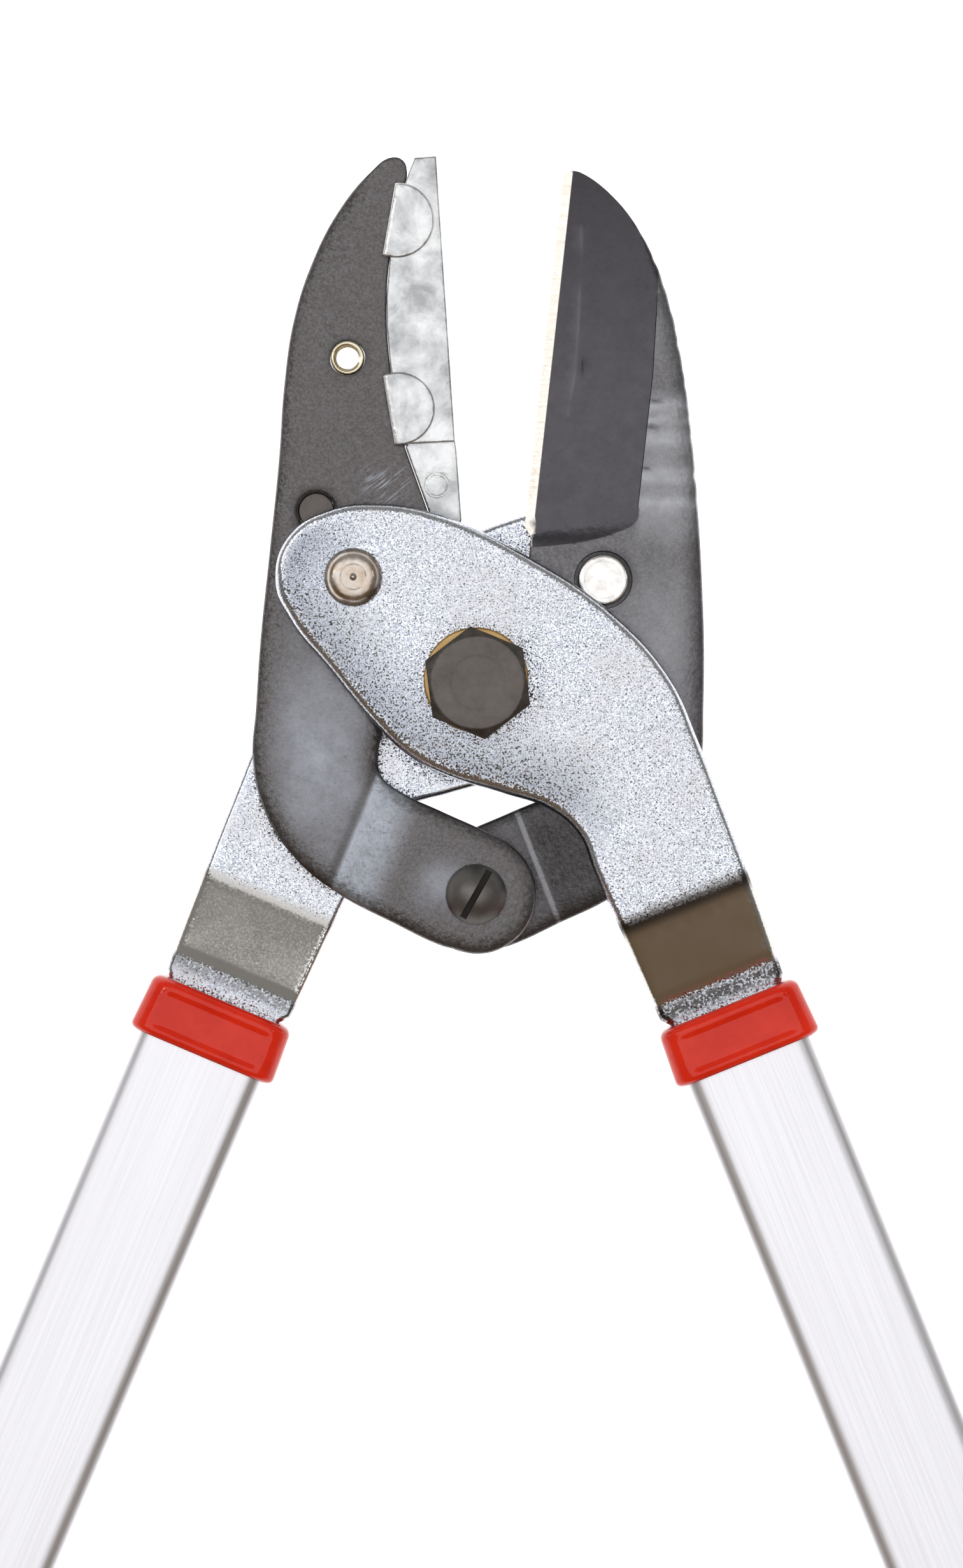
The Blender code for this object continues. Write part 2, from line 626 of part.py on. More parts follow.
def grip_shape():
    """A moulded sleeve that swells under the palm and ends in a flange for the hand."""
    grip = loft("grip", [
        (GRIP_TOP, 14.3, 8.1, 3.6), (GRIP_TOP + 2, 15.6, 9.4, 4.6), (GRIP_TOP + 8, 15.8, 9.6, 4.8),
        (GRIP_TOP + 12, 15.0, 8.8, 4.2), (GRIP_TOP + 40, 15.3, 9.3, 4.6), (GRIP_TOP + 72, 16.2, 10.6, 5.6),
        (GRIP_TOP + 104, 15.3, 9.6, 5.0), (GRIP_TOP + 126, 15.0, 9.3, 4.6), (GRIP_TOP + 134, 16.8, 11.6, 5.4),
        (GRIP_TOP + 140, 19.4, 15.9, 6.0), (GRIP_TOP + 142, 20.0, MID_HEIGHT, 6.2),
        (GRIP_END - 1.5, 20.0, MID_HEIGHT, 6.2), (GRIP_END, 18.6, MID_HEIGHT - 1.4, 5.4),
    ], steps=5)
    bore = TUBE_HALF_WIDTH + STACK_GAP, TUBE_HALF_HEIGHT + STACK_GAP, TUBE_CORNER
    combine(grip, loft("grip_bore", [(GRIP_TOP - 3, *bore), (GRIP_END + 3, *bore)]))
    return bake(grip)


def grip_cap_shape():
    full = TUBE_HALF_WIDTH - STACK_GAP, TUBE_HALF_HEIGHT - STACK_GAP, TUBE_CORNER - 0.2
    cap = loft("grip_cap", [
        (TUBE_END + 0.4, *full), (GRIP_END - 1.4, *full),
        (GRIP_END - 0.6, full[0] - 0.9, full[1] - 0.9, 2.0),
    ])
    return bake(cap)


# ---------------------------------------------------------------- assembly
def build_handles(left, right, finishes):
    plate = lever_plate()
    show("back_lever_plate", plate, finishes["plate"], left)
    show("front_lever_plate", plate, finishes["plate"], right)
    drop(plate)
    pin = rod("tang_pin", TANG_PIN_RADIUS, -TANG_PIN_HALF, TANG_PIN_HALF, 20)
    shapes = [
        ("ferrule", ferrule_shape(), "ferrule"), ("tube", tube_shape(), "tube"),
        ("tang_sleeve", tang_sleeve_shape(), "sleeve"), ("grip", grip_shape(), "grip"),
        ("grip_cap", grip_cap_shape(), "cap"),
    ]
    axis = on_handle(0, HANDLE_OFFSET)
    for side, body in (("left", left), ("right", right)):
        for name, shape, material in shapes:
            show(f"{side}_{name}", shape, finishes[material], body, (*axis, 0), HANDLE_ANGLE)
        at = on_handle(TANG_PIN_AT, HANDLE_OFFSET)
        show(f"{side}_tang_pin", pin, finishes["pin"], body, (*at, 0))
    for shape in [pin] + [entry[1] for entry in shapes]:
        drop(shape)


def build_pivot(root, finishes):
    washer_low = PLATE_HIGH + STACK_GAP
    washer_high = washer_low + WASHER_THICK
    bore = BOLT_RADIUS + STACK_GAP
    nut_top = -washer_high - STACK_GAP
    rows = [
        ("pivot_bolt", pivot_bolt_shape(), "bolt"),
        ("pivot_washer_front", ring("washer_f", bore, WASHER_RADIUS, washer_low, washer_high), "washer"),
        ("pivot_washer_back", ring("washer_b", bore, WASHER_RADIUS, -washer_high, -washer_low), "washer"),
        ("pivot_spacer", ring("spacer", bore, SPACER_RADIUS, -PLATE_LOW + STACK_GAP, PLATE_LOW - STACK_GAP), "bush"),
        ("pivot_nut", nut_shape("pivot_nut", HEX_ACROSS, bore, nut_top - NUT_HIGH, nut_top, 0.3), "bolt"),
    ]
    for name, shape, material in rows:
        show(name, shape, finishes[material], root)
        drop(shape)


def build_jaws(left, right, finishes):
    anvil_side = empty("anvil_jaw_pivot", right, (mm(JAW_PIVOT[0]), mm(JAW_PIVOT[1]), 0))
    blade_side = empty("blade_pivot", left, (mm(JAW_PIVOT[0]), mm(JAW_PIVOT[1]), 0))
    back = (-JAW_PIVOT[0], -JAW_PIVOT[1])
    rivet = rivet_shape()
    show("anvil_rivet", rivet, finishes["rivet"], right, (*JAW_PIVOT, 0))
    show("blade_rivet", rivet, finishes["rivet"], left, (*JAW_PIVOT, 0))
    drop(rivet)
    bore = LINK_RADIUS + STACK_GAP
    washer_top = -JAW_HALF - ARM_LIFT - STACK_GAP
    nut_top = washer_top - LINK_WASHER_THICK - STACK_GAP
    washer = ring("link_ring", bore, LINK_WASHER_RADIUS, washer_top - LINK_WASHER_THICK, washer_top)
    nut = nut_shape("link_nut", LINK_NUT_ACROSS, bore, nut_top - LINK_NUT_HIGH, nut_top, 0.5)
    bush = ring("bush", BUSH_BORE, BUSH_RADIUS, -BUSH_HALF, BUSH_HALF, 24)
    rows = [
        ("anvil_jaw", anvil_jaw_shape(), "jaw", anvil_side, (0, 0)),
        ("anvil", anvil_shape(), "anvil", anvil_side, (0, 0)),
        ("anvil_bush", bush, "bush", anvil_side, BUSH),
        ("stop_pin", rod("stop", STOP_PIN_RADIUS, STOP_PIN_LOW, JAW_HALF, 24), "bolt", anvil_side, STOP_PIN),
        ("link_screw", link_screw_shape(), "screw", anvil_side, LINK_PIVOT),
        ("link_washer", washer, "bolt", anvil_side, LINK_PIVOT),
        ("link_nut", nut, "bolt", anvil_side, LINK_PIVOT),
        ("blade", blade_shape(), "blade", blade_side, (0, 0)),
    ]
    for name, shape, material, body, at in rows:
        show(name, shape, finishes[material], body, (at[0] + back[0], at[1] + back[1], 0))
        drop(shape)


def finishes_of_the_tool():
    return {
        "plate": finish("zinc_plated_steel", (0.62, 0.63, 0.65), 1.0, 0.32),
        "jaw": finish("black_oxide_forging", (0.14, 0.13, 0.125), 0.8, 0.5),
        "blade": finish("ground_blade_steel", (0.09, 0.088, 0.09), 0.8, 0.42),
        "anvil": finish("cast_anvil_alloy", (0.6, 0.6, 0.58), 0.9, 0.45),
        "ferrule": finish("red_moulding", (0.62, 0.03, 0.014), 0.0, 0.2),
        "tube": finish("anodised_tube", (0.62, 0.61, 0.66), 0.9, 0.4),
        "sleeve": finish("insert_plastic", (0.05, 0.05, 0.05), 0.0, 0.5),
        "grip": finish("red_vinyl", (0.5, 0.025, 0.015), 0.0, 0.45),
        "cap": finish("black_plastic", (0.02, 0.02, 0.02), 0.0, 0.5),
        "bolt": finish("phosphated_steel", (0.1, 0.09, 0.08), 0.8, 0.5),
        "washer": finish("yellow_passivated_zinc", (0.6, 0.42, 0.18), 1.0, 0.35),
        "rivet": finish("yellow_zinc_rivet", (0.6, 0.5, 0.38), 1.0, 0.3),
        "bush": finish("brass_bush", (0.6, 0.5, 0.3), 1.0, 0.35),
        "screw": finish("black_screw", (0.03, 0.03, 0.03), 0.7, 0.35),
        "pin": finish("steel_pin", (0.4, 0.4, 0.4), 1.0, 0.4),
    }


def build():
    root = empty("lopper", None, (0.0, mm(PIVOT_Y), mm(MID_HEIGHT)))
    left = empty("left_handle", root)
    left.rotation_euler.y = math.pi
    right = empty("right_handle", root)
    finishes = finishes_of_the_tool()
    build_handles(left, right, finishes)
    build_pivot(root, finishes)
    build_jaws(left, right, finishes)


clear_scene()
tool = new_collection("anvil_lopper")
cutters = new_collection("cutters")
build()
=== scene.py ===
import json
import math

import bmesh
import bpy
import numpy as np
from mathutils import Matrix, Vector, geometry, noise

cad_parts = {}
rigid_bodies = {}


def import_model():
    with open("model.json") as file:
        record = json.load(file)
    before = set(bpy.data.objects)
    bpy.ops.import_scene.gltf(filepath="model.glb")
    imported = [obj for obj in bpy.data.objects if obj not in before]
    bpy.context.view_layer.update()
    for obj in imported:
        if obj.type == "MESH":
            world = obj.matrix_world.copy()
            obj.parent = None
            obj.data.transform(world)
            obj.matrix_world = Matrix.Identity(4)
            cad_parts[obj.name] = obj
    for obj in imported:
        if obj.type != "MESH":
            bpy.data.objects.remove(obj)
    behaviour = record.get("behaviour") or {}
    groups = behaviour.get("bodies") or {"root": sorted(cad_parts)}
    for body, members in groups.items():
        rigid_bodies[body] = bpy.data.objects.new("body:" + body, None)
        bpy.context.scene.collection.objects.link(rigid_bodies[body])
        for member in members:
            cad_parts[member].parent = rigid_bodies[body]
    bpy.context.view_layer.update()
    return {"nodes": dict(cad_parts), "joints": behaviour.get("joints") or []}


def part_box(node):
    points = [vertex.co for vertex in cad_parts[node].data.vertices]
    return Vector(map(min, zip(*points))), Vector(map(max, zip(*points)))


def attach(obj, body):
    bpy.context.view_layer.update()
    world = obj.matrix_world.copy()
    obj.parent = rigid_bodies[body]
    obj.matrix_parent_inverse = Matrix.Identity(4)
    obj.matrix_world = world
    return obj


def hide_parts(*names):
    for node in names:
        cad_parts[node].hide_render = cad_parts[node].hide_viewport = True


for leftOver in list(bpy.data.objects):
    bpy.data.objects.remove(leftOver, do_unlink=True)
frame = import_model()

# All shapes are drawn in millimetres from the main pivot, in the middle plane of the jaws.
jointAt = {joint["name"]: Vector(joint["pos_m"]) for joint in frame["joints"]}
pivot = jointAt["handle_pivot"]
upright = Matrix.Translation(pivot)
turnedOver = upright @ Matrix.Rotation(math.pi, 4, "Y")  # the left handle is the right one turned over


def nodeBox(node):
    low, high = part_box(node)
    return (low - pivot) * 1000, (high - pivot) * 1000


def nodeCentre(node):
    low, high = nodeBox(node)
    return (low.x + high.x) / 2, (low.y + high.y) / 2


jawPivot = tuple((jointAt["anvil_jaw_pivot"] - pivot).xy * 1000)
linkPivot = nodeCentre("link_screw")
stopPinAt = nodeCentre("stop_pin")
bushAt = nodeCentre("anvil_bush")

touching = 0.15  # gap between pieces that touch
stack = {
    "plateTop": nodeBox("pivot_washer_front")[0].z - touching,
    "plateThick": 4.5,
    "jawHalf": 2.5,
    "armLift": nodeBox("anvil_jaw")[1].z - 2.5,
    "floor": nodeBox("pivot_bolt")[0].z,
    "boltTop": nodeBox("pivot_bolt")[1].z,
}
handle = {
    "angle": math.radians(22.5),  # each handle from the centre line
    "offset": 20.3,  # tube's centre line from the main pivot
    "tubeHalf": (12.8, 6.5),
    "tubeWall": 1.5,
    "tubeRun": (74.5, 641.0),
}


def onHandle(station, across):
    sine, cosine = math.sin(handle["angle"]), math.cos(handle["angle"])
    return station * sine + across * cosine, -station * cosine + across * sine


def alongHandle(x, y):
    return x * math.sin(handle["angle"]) - y * math.cos(handle["angle"])


# outlines and sheets
def smoothLoop(knots, spacing=0.6):
    # closed outline through the knots, counter-clockwise; a third entry marks a sharp corner
    curve = bpy.data.curves.new("outline", "CURVE")
    spline = curve.splines.new("BEZIER")
    spline.bezier_points.add(len(knots) - 1)
    spline.use_cyclic_u = True
    for bend, knot in zip(spline.bezier_points, knots):
        bend.co = (knot[0], knot[1], 0)
        kind = "VECTOR" if len(knot) > 2 else "AUTO"
        bend.handle_left_type = kind
        bend.handle_right_type = kind
    bends = list(spline.bezier_points)
    points = []
    for start, end in zip(bends, bends[1:] + bends[:1]):
        steps = max(2, round((end.co - start.co).length / spacing)) + 1
        stretch = geometry.interpolate_bezier(start.co, start.handle_right, end.handle_left, end.co, steps)
        points += [(p.x, p.y) for p in stretch[:-1]]
    bpy.data.curves.remove(curve)
    return wound(np.array(points))


def wound(loop):
    x, y = loop.T
    area = np.sum(x * np.roll(y, -1) - np.roll(x, -1) * y)
    return loop if area > 0 else loop[::-1]


def circle(centre, radius, spacing=0.6):
    count = max(16, round(math.tau * radius / spacing))
    angle = np.arange(count) * math.tau / count
    return np.c_[centre[0] + radius * np.cos(angle), centre[1] + radius * np.sin(angle)]


def arc(centre, radius, start, end, count):
    angles = np.radians(np.linspace(start, end, count))
    return [(centre[0] + radius * math.cos(a), centre[1] + radius * math.sin(a)) for a in angles]


def line(start, end, spacing=1.0):
    count = max(2, round(math.dist(start, end) / spacing) + 1)
    return np.linspace(start, end, count)


def closedRing(points):
    return np.vstack([points, points[:1]])


def distanceTo(points, lines):
    # shortest distance from each point to any of the lines
    starts = np.vstack([line[:-1] for line in lines])
    runs = np.vstack([line[1:] for line in lines]) - starts
    lengths = np.maximum((runs**2).sum(1), 1e-12)
    found = []
    for some in np.array_split(points, max(1, len(points) // 1000)):
        away = some[:, None] - starts[None]
        share = np.clip((away * runs).sum(2) / lengths, 0, 1)
        found.append(np.sqrt(((away - share[..., None] * runs) ** 2).sum(2).min(1)))
    return np.concatenate(found)


def isInside(points, loops):
    crossings = np.zeros(len(points), int)
    for loop in loops:
        x, y = loop.T
        nextX, nextY = np.roll(x, -1), np.roll(y, -1)
        for i in range(len(loop)):
            over = (y[i] > points[:, 1]) != (nextY[i] > points[:, 1])
            if over.any():
                rise = nextY[i] - y[i]
                crossing = x[i] + (points[:, 1] - y[i]) * (nextX[i] - x[i]) / rise
                crossings += over & (points[:, 0] < crossing)
    return crossings % 2 == 1


def inset(loop, distance):
    # the loop moved to its left, with mitred corners
    ahead = np.roll(loop, -1, 0) - loop
    ahead /= np.linalg.norm(ahead, axis=1)[:, None]
    behind = np.roll(ahead, 1, 0)
    both = np.c_[-(ahead + behind)[:, 1], (ahead + behind)[:, 0]]
    return loop + distance * both / (1 + (ahead * behind).sum(1))[:, None]


def runsOf(points, keep, first):
    # edges between neighbours that are both kept, and the kept points
    number = np.cumsum(keep) - 1 + first
    pairs = [(number[i], number[i + 1]) for i in range(len(points) - 1) if keep[i] and keep[i + 1]]
    return points[keep], pairs


def triangulate(loops, rims, guides, spacing):
    rings = [closedRing(loop) for loop in loops]
    points, edges = [], []
    for loop in loops:
        first = sum(map(len, points))
        edges += [(first + i, first + (i + 1) % len(loop)) for i in range(len(loop))]
        points.append(loop)
    lines = []
    for loop in loops:
        lines += [(closedRing(inset(loop, rim)), 0.96 * rim) for rim in rims if rim > 0]
    lines += [(guide, 0.12) for guide in guides]
    for run, clear in lines:
        keep = isInside(run, loops) & (distanceTo(run, rings) > clear)
        kept, pairs = runsOf(run, keep, sum(map(len, points)))
        points.append(kept)
        edges += pairs
    low, high = loops[0].min(0), loops[0].max(0)
    rows = np.arange(low[1], high[1], spacing * 0.87)
    columns = np.arange(low[0], high[0], spacing)
    grid = np.array([(x + spacing / 2 * (i % 2), y) for i, y in enumerate(rows) for x in columns])
    keep = isInside(grid, loops) & (distanceTo(grid, rings) > max(rims) + 0.35 * spacing)
    if len(guides):
        keep &= distanceTo(grid, list(guides)) > 0.45 * spacing
    points.append(grid[keep])
    flat = [Vector(p) for p in np.vstack(points)]
    made = geometry.delaunay_2d_cdt(flat, [(int(a), int(b)) for a, b in edges], [], 0, 1e-4)
    flat = np.array([tuple(p) for p in made[0]])
    triangles = np.array([face for face in made[2] if len(face) == 3])
    a, b, c = (flat[triangles[:, i]] for i in range(3))
    area = (b - a)[:, 0] * (c - a)[:, 1] - (b - a)[:, 1] * (c - a)[:, 0]
    triangles = triangles[isInside((a + b + c) / 3, loops) & (np.abs(area) > 1e-7)]
    return flat, triangles


def sheet(name, loops, top, bottom, rims, guides=(), spacing=1.6, masks=None):
    # a plate between two height functions, each of (x, y, distance to the edge, distance to a hole)
    flat, triangles = triangulate(loops, rims, guides, spacing)
    loops = [closedRing(loop) for loop in loops]
    edge = distanceTo(flat, loops[:1])
    hole = distanceTo(flat, loops[1:]) if len(loops) > 1 else np.full(len(flat), 99.0)
    x, y = flat.T
    verts = np.vstack([np.c_[x, y, top(x, y, edge, hole)], np.c_[x, y, bottom(x, y, edge, hole)]])
    count = len(flat)
    faces = [tuple(t) for t in triangles.tolist()]
    sides = {pair for a, b, c in faces for pair in ((a, b), (b, c), (c, a))}
    walls = [(b, a, a + count, b + count) for a, b in sorted(sides) if (b, a) not in sides]
    faces += [(c + count, b + count, a + count) for a, b, c in faces] + walls
    mesh = meshOf(name, verts, faces)
    for mask, rule in (masks or {}).items():
        values = rule(x, y, edge, hole)  # one for both sides, or a pair: top and bottom
        both = np.concatenate(values if isinstance(values, tuple) else (values, values))
        mesh.attributes.new(mask, "FLOAT", "POINT").data.foreach_set("value", both.astype(np.float32))
    return mesh


def meshOf(name, verts, faces, sharp=38):
    mesh = bpy.data.meshes.new(name)
    mesh.from_pydata((np.asarray(verts) * 0.001).tolist(), [], faces)
    tidy = bmesh.new()
    tidy.from_mesh(mesh)
    loose = [vert for vert in tidy.verts if not vert.link_faces]
    bmesh.ops.delete(tidy, geom=loose, context="VERTS")
    tidy.to_mesh(mesh)
    tidy.free()
    return shaded(mesh, sharp)


def facingOut(mesh, sharp):
    # doubled points on an axis joined, and every face turned outwards
    joined = bmesh.new()
    joined.from_mesh(mesh)
    bmesh.ops.remove_doubles(joined, verts=joined.verts, dist=1e-7)
    bmesh.ops.recalc_face_normals(joined, faces=joined.faces)
    joined.to_mesh(mesh)
    joined.free()
    return shaded(mesh, sharp)


def shaded(mesh, sharp=38):
    mesh.shade_smooth()
    mesh.set_sharp_from_angle(angle=math.radians(sharp))
    return mesh


# height rules
def ease(value, start, end):
    share = np.clip((value - start) / (end - start), 0, 1)
    return share * share * (3 - 2 * share)


def rolled(distance, radius):
    # drop of a rounded edge at a distance from the outline
    inside = np.clip(radius - distance, 0, radius)
    return radius - np.sqrt(radius**2 - inside**2)


def roundSteps(radius, count=5):
    return [radius * (1 - math.cos(math.pi / 2 * i / count)) for i in range(count + 1)]


def jog(at, first, second, third, fourth, rise):
    # a bend, a straight slope and a bend back
    full = rise / ((second - first) / 2 + third - second + (fourth - third) / 2)
    into = np.clip(at - first, 0, second - first)
    steady = np.clip(at - second, 0, third - second)
    out = np.clip(at - third, 0, fourth - third)
    return full * (into**2 / (2 * (second - first)) + steady + out - out**2 / (2 * (fourth - third)))


def lumps(x, y, size, layer=0.0):
    return np.array([noise.noise(Vector((a / size, b / size, layer))) for a, b in zip(x, y)])


def apart(x, y, centre):
    return np.hypot(x - centre[0], y - centre[1])


def spot(x, y, centre, wide, high, power=2):
    # 1 at the centre, fading over those widths
    return np.exp(-((x - centre[0]) / wide) ** power - ((y - centre[1]) / high) ** power)


def band(at, middle, width):
    return np.exp(-((at - middle) / width) ** 2)


def besideLine(x, y, start, end):
    # distance to the left of a line
    length = math.dist(start, end)
    return ((end[0] - start[0]) * (y - start[1]) - (end[1] - start[1]) * (x - start[0])) / length


# turned, threaded and lofted shapes
def turned(name, profile, steps=96, closed=False, shape=None, sharp=38):
    # (radius, height) rows turned about Z; shape(radius, height, angle) may change each radius
    radius, height = np.array(profile, float).T
    angles = np.arange(steps) * math.tau / steps
    verts = []
    for angle in angles:
        here = radius if shape is None else shape(radius, height, angle)
        verts.append(np.c_[here * math.cos(angle), here * math.sin(angle), height])
    verts = np.vstack(verts)
    rows = len(profile)
    faces = []
    for turn in range(steps):
        after = (turn + 1) % steps
        for i in range(rows if closed else rows - 1):
            j = (i + 1) % rows
            faces.append((turn * rows + i, turn * rows + j, after * rows + j, after * rows + i))
    return facingOut(meshOf(name, verts, faces), sharp)


def roundedSection(halfWide, halfHigh, corner, flatSteps=12, cornerSteps=7):
    # points round a rectangle with round corners, the same number for any size
    points = []
    for quarter in range(4):
        alongX, alongZ = ((1, 1), (-1, 1), (-1, -1), (1, -1))[quarter]
        centre = alongX * (halfWide - corner), alongZ * (halfHigh - corner)
        start = math.pi / 2 * quarter
        turn = [start + math.pi / 2 * i / cornerSteps for i in range(cornerSteps + 1)]
        points += [(centre[0] + corner * math.cos(a), centre[1] + corner * math.sin(a)) for a in turn]
        side = halfWide - corner if quarter % 2 == 0 else halfHigh - corner
        steps = flatSteps if quarter % 2 == 0 else max(2, flatSteps // 3)
        for i in range(1, steps):
            slide = side * (1 - 2 * i / steps)
            step = (slide, halfHigh), (-halfWide, slide), (-slide, -halfHigh), (halfWide, -slide)
            points.append(step[quarter])
    return np.array(points)


def lofted(name, rings, wrap=False, sharp=38):
    # rings are (station, points); the piece runs along -Y, and wrap joins the last ring to the first
    count = len(rings[0][1])
    rows = [np.c_[points[:, 0], np.full(count, -station), points[:, 1]] for station, points in rings]
    verts = np.vstack(rows)
    faces = []
    for i in range(len(rings) if wrap else len(rings) - 1):
        a, b = i * count, (i + 1) % len(rings) * count
        faces += [(a + k, b + k, b + (k + 1) % count, a + (k + 1) % count) for k in range(count)]
    if not wrap:
        faces += [tuple(range(count))[::-1], tuple(range(len(verts) - count, len(verts)))]
    return facingOut(meshOf(name, verts, faces), sharp)


def placed(name, data):
    thing = bpy.data.objects.new(name, data)
    bpy.context.scene.collection.objects.link(thing)
    return thing


def combined(mesh, others, operation="UNION", sharp=38):
    # Boolean with helper objects, applied
    body = placed("whole", mesh)
    helpers = [placed("helper", other) for other in others]
    for helper in helpers:
        step = body.modifiers.new("step", "BOOLEAN")
        step.operation = operation
        step.object = helper
    graph = bpy.context.evaluated_depsgraph_get()
    shown = body.evaluated_get(graph)
    made = bpy.data.meshes.new_from_object(shown, preserve_all_data_layers=True, depsgraph=graph)
    for spare in helpers + [body]:
        bpy.data.objects.remove(spare, do_unlink=True)
    return shaded(made, sharp)


def marked(mesh, name, rule):
    # a mask on the points of a finished mesh, from a rule of (x, y, z)
    found = np.zeros(len(mesh.vertices) * 3)
    mesh.vertices.foreach_get("co", found)
    values = rule(*(found.reshape(-1, 3).T * 1000)) * 1.0
    mesh.attributes.new(name, "FLOAT", "POINT").data.foreach_set("value", values.astype(np.float32))
    return mesh


def boxMesh(name, size, centre):
    mesh = bpy.data.meshes.new(name)
    shape = bmesh.new()
    bmesh.ops.create_cube(shape, size=0.001)
    bmesh.ops.scale(shape, vec=Vector(size), verts=shape.verts)
    bmesh.ops.translate(shape, vec=Vector(centre) * 0.001, verts=shape.verts)
    shape.to_mesh(mesh)
    shape.free()
    return mesh


# materials
def colour(code):
    # sRGB hex to linear
    parts = [int(code[i:i + 2], 16) / 255 for i in (1, 3, 5)]
    linear = [p / 12.92 if p <= 0.04045 else ((p + 0.055) / 1.055) ** 2.4 for p in parts]
    return (*linear, 1.0)


def addNode(tree, kind, sockets=None, stops=None, **settings):
    # one node with its settings; each socket gets a value or a link
    node = tree.nodes.new("ShaderNode" + kind)
    for name, value in settings.items():
        setattr(node, name, value)
    for name, value in (sockets or {}).items():
        if isinstance(value, bpy.types.NodeSocket):
            tree.links.new(value, node.inputs[name])
        else:
            node.inputs[name].default_value = value
    for i, (at, shade) in enumerate(stops or []):
        ramp = node.color_ramp.elements
        stop = ramp[i] if i < 2 else ramp.new(at)
        stop.position, stop.color = at, shade
    return node


def newMaterial(name, **constants):
    # a Principled shader with its constant sockets set by name
    material = bpy.data.materials.new(name)
    material.use_nodes = True
    tree = material.node_tree
    shader = tree.nodes["Principled BSDF"]
    for socket, value in constants.items():
        shader.inputs[socket.replace("_", " ")].default_value = value
    place = addNode(tree, "TexCoord").outputs["Object"]
    return material, tree, shader, place


def perMm(size):
    return 1000 / size  # texture scale for a feature of that many millimetres


def cloudOf(tree, place, size, detail=4.0, distortion=0.0):
    sockets = {"Vector": place, "Scale": perMm(size), "Detail": detail, "Roughness": 0.6}
    return addNode(tree, "TexNoise", sockets | {"Distortion": distortion}).outputs["Fac"]


def blend(tree, share, first, second):
    # two colours mixed by a share; each is a hex code or a socket
    ends = [colour(end) if isinstance(end, str) else end for end in (first, second)]
    return addNode(tree, "Mix", {0: share, 6: ends[0], 7: ends[1]}, data_type="RGBA").outputs[2]


def strokesOf(tree, place, sizes, detail=2.0):
    # noise drawn out to a different size in millimetres along each axis
    scale = tuple(perMm(size) for size in sizes)
    drawn = addNode(tree, "Mapping", {"Vector": place, "Scale": scale}).outputs["Vector"]
    return addNode(tree, "TexNoise", {"Vector": drawn, "Scale": 1.0, "Detail": detail}).outputs["Fac"]


def ranged(tree, value, low, high, start=0.3, end=0.7):
    sockets = {"Value": value, "From Min": start, "From Max": end, "To Min": low, "To Max": high}
    return addNode(tree, "MapRange", sockets).outputs["Result"]


def times(tree, first, second, clamped=False):
    sockets = {0: first, 1: second}
    return addNode(tree, "Math", sockets, operation="MULTIPLY", use_clamp=clamped).outputs["Value"]


def mask(tree, name):
    return addNode(tree, "Attribute", attribute_name=name).outputs["Fac"]


def bumped(tree, height, depth, strength=1.0):
    # depth in millimetres
    sockets = {"Strength": strength, "Distance": depth * 0.001, "Height": height}
    return addNode(tree, "Bump", sockets).outputs["Normal"]


def tilted(tree, place, size, amount, normal=None):
    # little facets of that many millimetres, each leaning its own way
    def vector(operation, sockets):
        return addNode(tree, "VectorMath", sockets, operation=operation).outputs["Vector"]
    noisy = addNode(tree, "TexNoise", {"Vector": place, "Scale": perMm(size), "Detail": 1.5})
    middle = vector("SUBTRACT", {0: noisy.outputs["Color"], 1: (0.5, 0.5, 0.5)})
    lean = vector("SCALE", {0: middle, "Scale": amount})
    face = normal or addNode(tree, "NewGeometry").outputs["Normal"]
    return vector("NORMALIZE", {0: vector("ADD", {0: face, 1: lean})})


def finishOff(tree, shader, tone, roughness, normal):
    for socket, value in (("Base Color", tone), ("Roughness", roughness), ("Normal", normal)):
        tree.links.new(value, shader.inputs[socket])


paintedShadeTone = "#2B2927"  # painted shade, dark in corners, recesses, slots and under other parts


def zincPlatedSteel():
    # bright zinc over blasted pressed steel: a hard silver sparkle, ironed smooth where the press bent it,
    # with painted shade towards the drooping edge and in the bends
    # scale is the colour of the painted shade in the bends
    look = {
        "tone": "#E4E7EE", "shade": "#A9AFBC", "stain": "#C9CACF", "droopShadeTone": "#8D939F", "ironed": "#C8C6C3",
        "scale": "#4B4847", "grain": 0.37, "lean": 1.3, "roughness": 0.2,
    }
    material, tree, shader, place = newMaterial("zincPlatedSteel", Metallic=1.0)
    ironed = mask(tree, "ironed")
    cloud = cloudOf(tree, place, 14.0)
    speckle = ranged(tree, cloudOf(tree, place, look["grain"] * 0.8, 1.0), 0.0, 1.0, 0.42, 0.58)
    grains = blend(tree, speckle, look["shade"], look["tone"])
    tone = blend(tree, ranged(tree, cloud, 0.0, 0.7, 0.45, 0.65), grains, look["stain"])
    # painted shade towards the drooping lower left edge and past the second bend; the ironed slope keeps its
    # own tone
    tone = blend(tree, ironed, blend(tree, mask(tree, "droopShade"), tone, look["droopShadeTone"]), look["ironed"])
    # painted shade in the two bends, with the darkest colour of the look: solid on the ironed slope, in dots
    # elsewhere
    dots = ranged(tree, cloudOf(tree, place, look["grain"] * 1.4, 1.0), 1.0, 0.1, 0.54, 0.6)
    dots = addNode(tree, "Mix", {0: ironed, 2: dots, 3: 1.0}, data_type="FLOAT").outputs[0]
    tone = blend(tree, times(tree, mask(tree, "bendShade"), dots), tone, look["scale"])
    lean = ranged(tree, ironed, look["lean"], 0.05, 0.0, 1.0)
    lean = ranged(tree, mask(tree, "rubbedRim"), lean, 0.25, 0.0, 1.0)
    rough = ranged(tree, cloud, look["roughness"] - 0.04, look["roughness"] + 0.06)
    rough = times(tree, rough, ranged(tree, ironed, 1.0, 0.62, 0.0, 1.0))
    finishOff(tree, shader, tone, rough, tilted(tree, place, look["grain"], lean))
    return material


